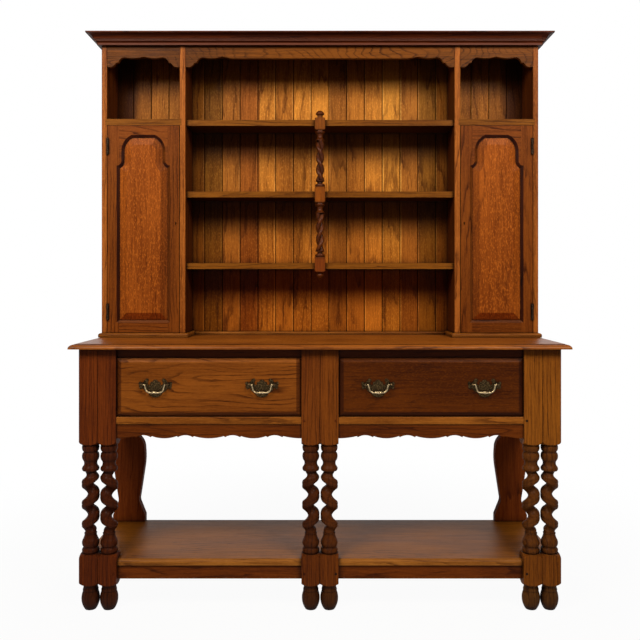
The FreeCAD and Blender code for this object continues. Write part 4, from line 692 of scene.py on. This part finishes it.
# %% [markdown]
# ## Tones of the rack's frame
# The rack's uprights, cornice and shelves differ from face to face: painted shade on the faces that look
# to the middle and on the shelves' undersides, a painted highlight on the cornice's fillets. The direction
# in which a face looks tells them apart, so one finish serves the whole piece.

# %% Tones of the rack's frame
INWARD_FACE = (-0.9, -0.5)
# Painted shade on the faces that look to the middle.
UPRIGHT_INSIDE_SHADE = (0.34, 0.28, 0.30)
FRONT_EDGE = (-0.95, -0.80)
UPRIGHT_FRONT = (1.30, 1.36, 1.60)
CORNICE_LIP = 0.016
CORNICE_DARKER = (0.74, 0.56, 0.56)
FILLET_SLOPE = (0.975, 0.995)
# A painted highlight on the cornice fillets.
CORNICE_FILLET_HIGHLIGHT = rgb(0.058, 0.017, 0.008)
UNDERSIDE = (-0.9, -0.5)
# Painted shade on the shelves' undersides.
SHELF_UNDERSIDE_SHADE = (0.30, 0.24, 0.24)


def upright_tone(tree, point, colour):
    """The front faces are paler, and painted shade darkens the faces that look to the middle."""
    inward = below(tree, outward_lean(tree, point), *INWARD_FACE)
    front = below(tree, facing(tree)["Y"], *FRONT_EDGE)
    return tinted(tree, front, tinted(tree, inward, colour, UPRIGHT_INSIDE_SHADE), UPRIGHT_FRONT)


def cornice_tone(tree, point, colour):
    """A painted highlight on the upright fillets below the lip, and a darker tone over the rest of the
    cornice.
    """
    lean = facing(tree)
    sideways = maths(tree, "ABSOLUTE", lean["X"])
    upright = maths(tree, "MAXIMUM", sideways, maths(tree, "ABSOLUTE", lean["Y"]))
    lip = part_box("cornice_front")[1][2] - CORNICE_LIP
    below_lip = maths(tree, "LESS_THAN", parts(tree, point)["Z"], lip)
    fillet = product(tree, below_lip, spread(tree, upright, *FILLET_SLOPE))
    return blended(tree, fillet, tinted(tree, 1.0, colour, CORNICE_DARKER), CORNICE_FILLET_HIGHLIGHT)


def shelf_tone(tree, point, colour):
    """Painted shade on the undersides of the shelves."""
    return tinted(tree, below(tree, facing(tree)["Z"], *UNDERSIDE), colour, SHELF_UNDERSIDE_SHADE)


print("rack tones ready")

# %% [markdown]
# ## Tones of the rails and the potboard
# The rails right under the worktop carry the painted shadow of its overhang, the darkest strip of the
# base, and the potboard's front edge has a painted highlight. A height and a depth are enough to find
# them, so no face is cut.

# %% Tones of the rails and the potboard
WORKTOP_EDGE = 0.006
# The painted shadow under the worktop's overhang.
TOP_RAIL_SHADOW = (0.26, 0.16, 0.20)
LIP_END = 0.008
LIP_FADE = 0.018
# A painted highlight on the potboard's front lip.
POTBOARD_LIP_HIGHLIGHT = (1.30, 1.40, 2.20)


def rail_tone(tree, point, colour):
    """The painted shadow of the worktop's overhang on the rails right under it."""
    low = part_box("drawer_left_front")[1][2]
    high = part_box("worktop")[1][2] - WORKTOP_EDGE
    return tinted(tree, between(tree, parts(tree, point)["Z"], low, high), colour, TOP_RAIL_SHADOW)


def potboard_tone(tree, point, colour):
    """A painted highlight on the moulded front edge."""
    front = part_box("potboard")[0][1]
    lip = below(tree, parts(tree, point)["Y"], front + LIP_END, front + LIP_FADE)
    return tinted(tree, lip, colour, POTBOARD_LIP_HIGHLIGHT)


print("base tones ready")

# %% [markdown]
# ## Boards of the base
# The two drawers do not match: the left front is a flat-sawn board with open flames, the right one a
# redder, plainer board. The legs and the apron are deeper, and the drawer boxes are bare wood. Each row
# names a finish, its grain, its stain, a place in the trunk and how the board was cut.

# %% Oak finishes of the base
oak("oak_rail", "x", stain(0.74), (0.31, 0.02, -0.62), 0.014, 0.11, tone=rail_tone)
oak("oak_apron", "x", stain(0.32, 0.68), (1.9, 0.02, -0.58), 0.012, 0.11)
oak("oak_low_rail", "x", stain(0.35, 0.66), (3.1, 0.02, -0.12), 0.012, 0.11)
oak("oak_worktop", "x", stain(0.56, 0.88), (1.7, 0.3, -0.85), 0.016, 0.16, wander=0.08, wear=0.6,
    gloss=0.26, polish=0.15)
oak("oak_potboard", "x", stain(0.58, 1.02), (8.3, 0.1, -0.15), 0.014, 0.06, wander=0.10, gloss=0.30,
    polish=0.04, tone=potboard_tone)
oak("oak_leg", "z", stain(0.26, 0.58), (0.2, 0.25, 0.4), 0.012, 0.05, wander=0.02, lines=0.75, wear=0.6,
    grime_and_shade=1.0, gloss=0.60, polish=0.06, tone=leg_tone)
oak("oak_peg", "y", stain(0.26, 0.58), (0.2, 0.25, 0.4), tone=peg_tone)
oak("oak_rear_leg", "z", stain(0.50, 0.64), (6.2, -0.1, 0.7), 0.014, 0.08, gloss=0.6)
oak("oak_flame", "x", stain(0.54, 0.86), (0.35, 0.19, -0.735), 0.015, 0.012, 0.11, 0.13, lines=1.0,
    streaks=0.6, tone=fielded_tone("drawer_left_front"))
oak("oak_red", "x", stain(0.225, 0.68), (3.6, 0.25, -0.72), 0.012, 0.15, lines=0.3, flecks=0.3,
    tone=fielded_tone("drawer_right_front"))
oak("oak_raw", "y", RAW, (0.0, 2.1, -0.7), 0.012, 0.08, grime_and_shade=0.5, wear=0.1)
print("finishes of the base:", len(FINISH))

# %% [markdown]
# ## Boards of the rack
# The frieze is the most figured board: it is cut across a leaning trunk, so its rings cross it as arcs.
# The doors have straight stiles round quarter-sawn panels, which show the most flecks, and the uprights
# have pale front edges. The rows are as before, so the two parts of the dresser stay one family.

# %% Oak finishes of the rack
FRIEZE_TONES = (stain(0.385, 0.88)[0], stain(0.10, 0.60)[1])
oak("oak_shelf", "x", stain(0.50, 1.00), (2.9, -0.12, -1.36), 0.012, 0.05, tone=shelf_tone)
oak("oak_frieze", "x", FRIEZE_TONES, (0.9, -0.03, -1.80), 0.012, -0.12, 0.36, 0.16, lines=1.0,
    grime_and_shade=0.25, pores=0.6)
oak("oak_cornice", "x", stain(0.18, 0.64), (4.2, 0.0, -1.90), 0.012, 0.05, wear=0.9, tone=cornice_tone)
oak("oak_return", "y", stain(0.18, 0.64), (0.0, 0.8, -0.9), 0.012, 0.05, wear=0.9, tone=cornice_tone)
oak("oak_upright", "z", stain(0.64, 0.86), (1.3, 0.02, 0.62), 0.012, 0.07, flecks=0.25,
    tone=upright_tone)
oak("oak_stile", "z", stain(0.46, 0.76), (3.3, 0.05, 0.62), 0.012, 0.09, flecks=0.25, lines=1.0,
    tone=door_frame_tone)
oak("oak_door_rail", "x", stain(0.46, 0.76), (0.5, 0.05, -1.5), 0.012, 0.07, flecks=0.25, lines=1.0,
    tone=door_frame_tone)
oak("oak_panel", "z", stain(0.82, 0.74, 0.50), (5.1, 0.3, 0.62), 0.016, 0.10, flecks=0.5, lines=0.3,
    tone=door_panel_tone)
oak("oak_back", "z", stain(0.60, 1.08), (7.0, -0.1, 0.0), 0.016, 0.12, flecks=0.35, wear=1.0,
    tone=board_tone, cut=board_cut)
oak("oak_turned", "z", stain(0.15, 0.62), (2.2, 0.0, 0.0), 0.010, 0.04, wear=0.9, polish=0.20,
    tone=baluster_tone)
print("oak finishes:", len(FINISH))

# %% [markdown]
# ## Which piece wears which board
# A joiner cuts like pieces from like boards. A plain list from finish to pieces shows that at a glance,
# and it is shorter than a line for each piece.

# %% Oak pieces
OAK_PIECES = {
    "oak_rail": "drawer_rails rack_top plinth_mouldings back_bead",
    "oak_apron": "apron_left apron_right",
    "oak_low_rail": "potboard_rails",
    "oak_worktop": "worktop",
    "oak_potboard": "potboard",
    "oak_leg": " ".join(name for name in nodes if name.startswith("front_leg")),
    "oak_peg": "rail_pegs",
    "oak_rear_leg": "base_panels rear_leg_left rear_leg_right",
    "oak_flame": "drawer_left_front",
    "oak_red": "drawer_right_front",
    "oak_raw": "drawer_runners drawer_left_box drawer_right_box",
    "oak_shelf": "shelf_upper shelf_middle shelf_lower cupboard_boards",
    "oak_frieze": "frieze_left frieze_centre frieze_right",
    "oak_cornice": "cornice_front",
    "oak_return": "cornice_returns",
    "oak_upright": "rack_side_left rack_side_right rack_partition_left rack_partition_right",
    "oak_stile": "door_left_stiles door_right_stiles",
    "oak_door_rail": "door_left_rails door_right_rails",
    "oak_panel": "door_left_panel door_right_panel",
    "oak_back": "back_boards",
    "oak_turned": "shelf_baluster",
}
WEARS = {name: finish for finish, names in OAK_PIECES.items() for name in names.split()}
print("oak nodes:", len(WEARS))

# %% [markdown]
# ## Brass and iron
# The handle plates are brass that was darkened on purpose, and the bails are kept brighter by hands. The
# hinges and locks are plain dark iron. All three are a clean metal under a patchy film, so one recipe
# with a bright and a dull tone makes them.

# %% Metals
FILM_SIZE = (260.0, 260.0, 260.0)
FILM_START = 0.62
FILM_START_SHIFT = 0.35
FILM_END = 0.82
FILM_END_SHIFT = 0.30
FILM_MATT = 0.25
METAL_GRIME = 0.8
METAL_WEAR = 0.7
METAL_RELIEF = {"Strength": 0.15, "Distance": 0.0003}
METALS = {
    "plate_brass": (rgb(0.150, 0.092, 0.036), rgb(0.022, 0.014, 0.007), 0.36, 0.8),
    "bail_brass": (rgb(0.330, 0.240, 0.115), rgb(0.085, 0.054, 0.022), 0.30, 0.5),
    "iron": (rgb(0.032, 0.020, 0.011), rgb(0.010, 0.006, 0.003), 0.55, 0.6),
}
METAL_WORDS = {"bail": "bail_brass", "handle": "plate_brass", "hinge": "iron", "lock": "iron"}


def metal(name, bright, dull, roughness, cover):
    """Metal under a tarnish: a noise between two levels sets where the film lies; corners keep it."""
    material, tree, shader = new_material(name)
    cloud = noise(tree, add(tree, "TexCoord").outputs["Object"], FILM_SIZE, 3.0, 0.6)["Fac"]
    film = spread(tree, cloud, FILM_START - FILM_START_SHIFT * cover, FILM_END - FILM_END_SHIFT * cover)
    age = {"Colour": blended(tree, film, bright, dull), "Grime": dull, "Grime Amount": METAL_GRIME,
           "Wear Amount": METAL_WEAR}
    give(tree, shader.inputs["Base Color"], placed_group(tree, PATINA, age)["Colour"])
    matt = product(tree, film, FILM_MATT)
    give(tree, shader.inputs["Roughness"], maths(tree, "ADD", matt, roughness))
    bump = add(tree, "Bump", {"Height": cloud, **METAL_RELIEF})
    give(tree, shader.inputs["Normal"], bump.outputs["Normal"])
    shader.inputs["Metallic"].default_value = 1.0
    FINISH[name] = material


for name, look in METALS.items():
    metal(name, *look)
for name in nodes:
    words = [word for word in METAL_WORDS if word in name]
    if words:
        WEARS[name] = METAL_WORDS[words[0]]
print("finishes:", len(FINISH), "nodes with a finish:", len(WEARS))

# %% [markdown]
# ## Dressing
# The pieces keep the shapes and places that the frame gave them, so dressing them is only a change of
# material.

# %% Dress the pieces
for name, finish in WEARS.items():
    nodes[name].data.materials.clear()
    nodes[name].data.materials.append(FINISH[finish])
print("dressed nodes:", len(WEARS), "bare nodes:", sorted(set(nodes) - set(WEARS)))

# %% [markdown]
# ## Floor
# The dresser stands on a pale floor that takes a soft shadow near the feet and fades to the backdrop's
# white far off. A small sheet would show where it ends, so the floor is much wider than the view.

# %% Floor
WHITE = rgb(1.0, 1.0, 1.0)
FLOOR_TONE = rgb(0.55, 0.53, 0.50)
FLOOR_ROUGHNESS = 0.9
FLOOR_HALF = 30.0
FLOOR_LEVEL = -0.0005
FLOOR_FADE = (0.6, 2.2)
WHITE_NEAR = 0.955


def floor_material():
    """A floor mixed with white light for the camera and for mirrors, more so far from the middle."""
    material, tree, shader = new_material("studio_floor")
    shader.inputs["Base Color"].default_value = FLOOR_TONE
    shader.inputs["Roughness"].default_value = FLOOR_ROUGHNESS
    glow = add(tree, "Emission", {"Color": WHITE, "Strength": 1.0})
    path = add(tree, "LightPath").outputs
    point = add(tree, "TexCoord").outputs["Object"]
    away = add(tree, "VectorMath", {0: point}, operation="LENGTH").outputs["Value"]
    white = spread(tree, away, *FLOOR_FADE, WHITE_NEAR, 1.0)
    direct = maths(tree, "ADD", path["Is Camera Ray"], path["Is Glossy Ray"], clamp=True)
    seen = product(tree, direct, white)
    mix = add(tree, "MixShader", {0: seen, 1: shader.outputs[0], 2: glow.outputs[0]})
    give(tree, tree.nodes["Material Output"].inputs["Surface"], mix.outputs[0])
    return material


def sheet_mesh(name, half, z):
    """A flat square: x and y run over a grid from minus half to half at one height."""
    u, v = np.meshgrid((-half, half), (-half, half))
    points = np.stack([u.ravel(), v.ravel(), np.full(4, z)], axis=1)
    mesh = bpy.data.meshes.new(name)
    mesh.from_pydata(points.tolist(), [], [(0, 1, 3, 2)])
    piece = bpy.data.objects.new(name, mesh)
    bpy.context.scene.collection.objects.link(piece)
    return piece


floor = sheet_mesh("floor", FLOOR_HALF, FLOOR_LEVEL)
floor.data.materials.append(floor_material())
print("floor:", 2.0 * FLOOR_HALF, "m wide")

# %% [markdown]
# ## Lamps
# Two lamps stand high at the front, one on each side, so each shelf throws its shadow on the boards
# behind it and each cupboard door is lit from its own side. One lamp alone would leave one side of the
# rack in shadow. The left one is a little stronger.

# %% Lamps
LAMP_OUT = 1.35
LAMP_FRONT = -2.15
LAMP_HEIGHT = 2.95
LAMP_SIZE = 1.15
LAMP_TARGET = (0.0, 0.1, 1.15)
LAMP_COLOUR = (1.0, 0.93, 0.82)
LAMPS = {"left": (-LAMP_OUT, 70.0), "right": (LAMP_OUT, 63.0)}


def lamp(name, place, power):
    """A square area lamp at a place, turned to face the target."""
    data = bpy.data.lights.new(name, "AREA")
    data.shape = "SQUARE"
    data.size = LAMP_SIZE
    data.energy = power
    data.color = LAMP_COLOUR
    piece = bpy.data.objects.new(name, data)
    away = np.array(place) - np.array(LAMP_TARGET)
    pitch = math.atan2(math.hypot(away[0], away[1]), away[2])
    piece.location = place
    piece.rotation_euler = (pitch, 0.0, math.atan2(away[0], -away[1]))
    bpy.context.scene.collection.objects.link(piece)


for name, (across, power) in LAMPS.items():
    lamp(name, (across, LAMP_FRONT, LAMP_HEIGHT), power)
print("lamps:", len(LAMPS))

# %% [markdown]
# ## Backdrop
# The backdrop is white, and polished wood and brass may mirror it, while the side behind the camera is
# dark. It lends almost no light of its own, or else the shadows under the shelves would be washed out.

# %% Backdrop
AMBIENT = 0.03
DARK_SIDE = 0.10
MIRROR_RANGE = (-0.3, 0.5)
world = bpy.data.worlds.new("studio")
bpy.context.scene.world = world
world.use_nodes = True
sky = world.node_tree
background = sky.nodes["Background"]
path = add(sky, "LightPath").outputs
ahead = parts(sky, add(sky, "TexCoord").outputs["Generated"])["Y"]
mirror = maths(sky, "ADD", path["Is Glossy Ray"], path["Is Transmission Ray"], clamp=True)
mirrored = product(sky, mirror, spread(sky, ahead, *MIRROR_RANGE, DARK_SIDE, 1.0))
seen = maths(sky, "ADD", path["Is Camera Ray"], mirrored, clamp=True)
give(sky, background.inputs["Strength"], maths(sky, "MAXIMUM", seen, AMBIENT))
background.inputs["Color"].default_value = WHITE
print("backdrop ready")

# %% [markdown]
# ## Camera
# The camera stands level in front of the middle, a little above the worktop. Tilting it down would make
# the uprights lean, so its frame is shifted down instead, and upright lines stay upright.

# %% Camera
CAMERA_HEIGHT = 1.046
CAMERA_BACK = 2.685
LENS_MM = 43.82
SENSOR_MM = 36.0
HORIZON_SHARE = 38.0 / 640.0
eye = bpy.data.cameras.new("eye")
eye.lens = LENS_MM
eye.sensor_width = SENSOR_MM
eye.shift_y = -HORIZON_SHARE
camera = bpy.data.objects.new("eye", eye)
camera.location = (0.0, -CAMERA_BACK, CAMERA_HEIGHT)
camera.rotation_euler = (math.pi / 2, 0.0, 0.0)
bpy.context.scene.collection.objects.link(camera)
bpy.context.scene.camera = camera
bpy.context.scene.view_settings.view_transform = "Standard"
print("camera at:", tuple(camera.location))
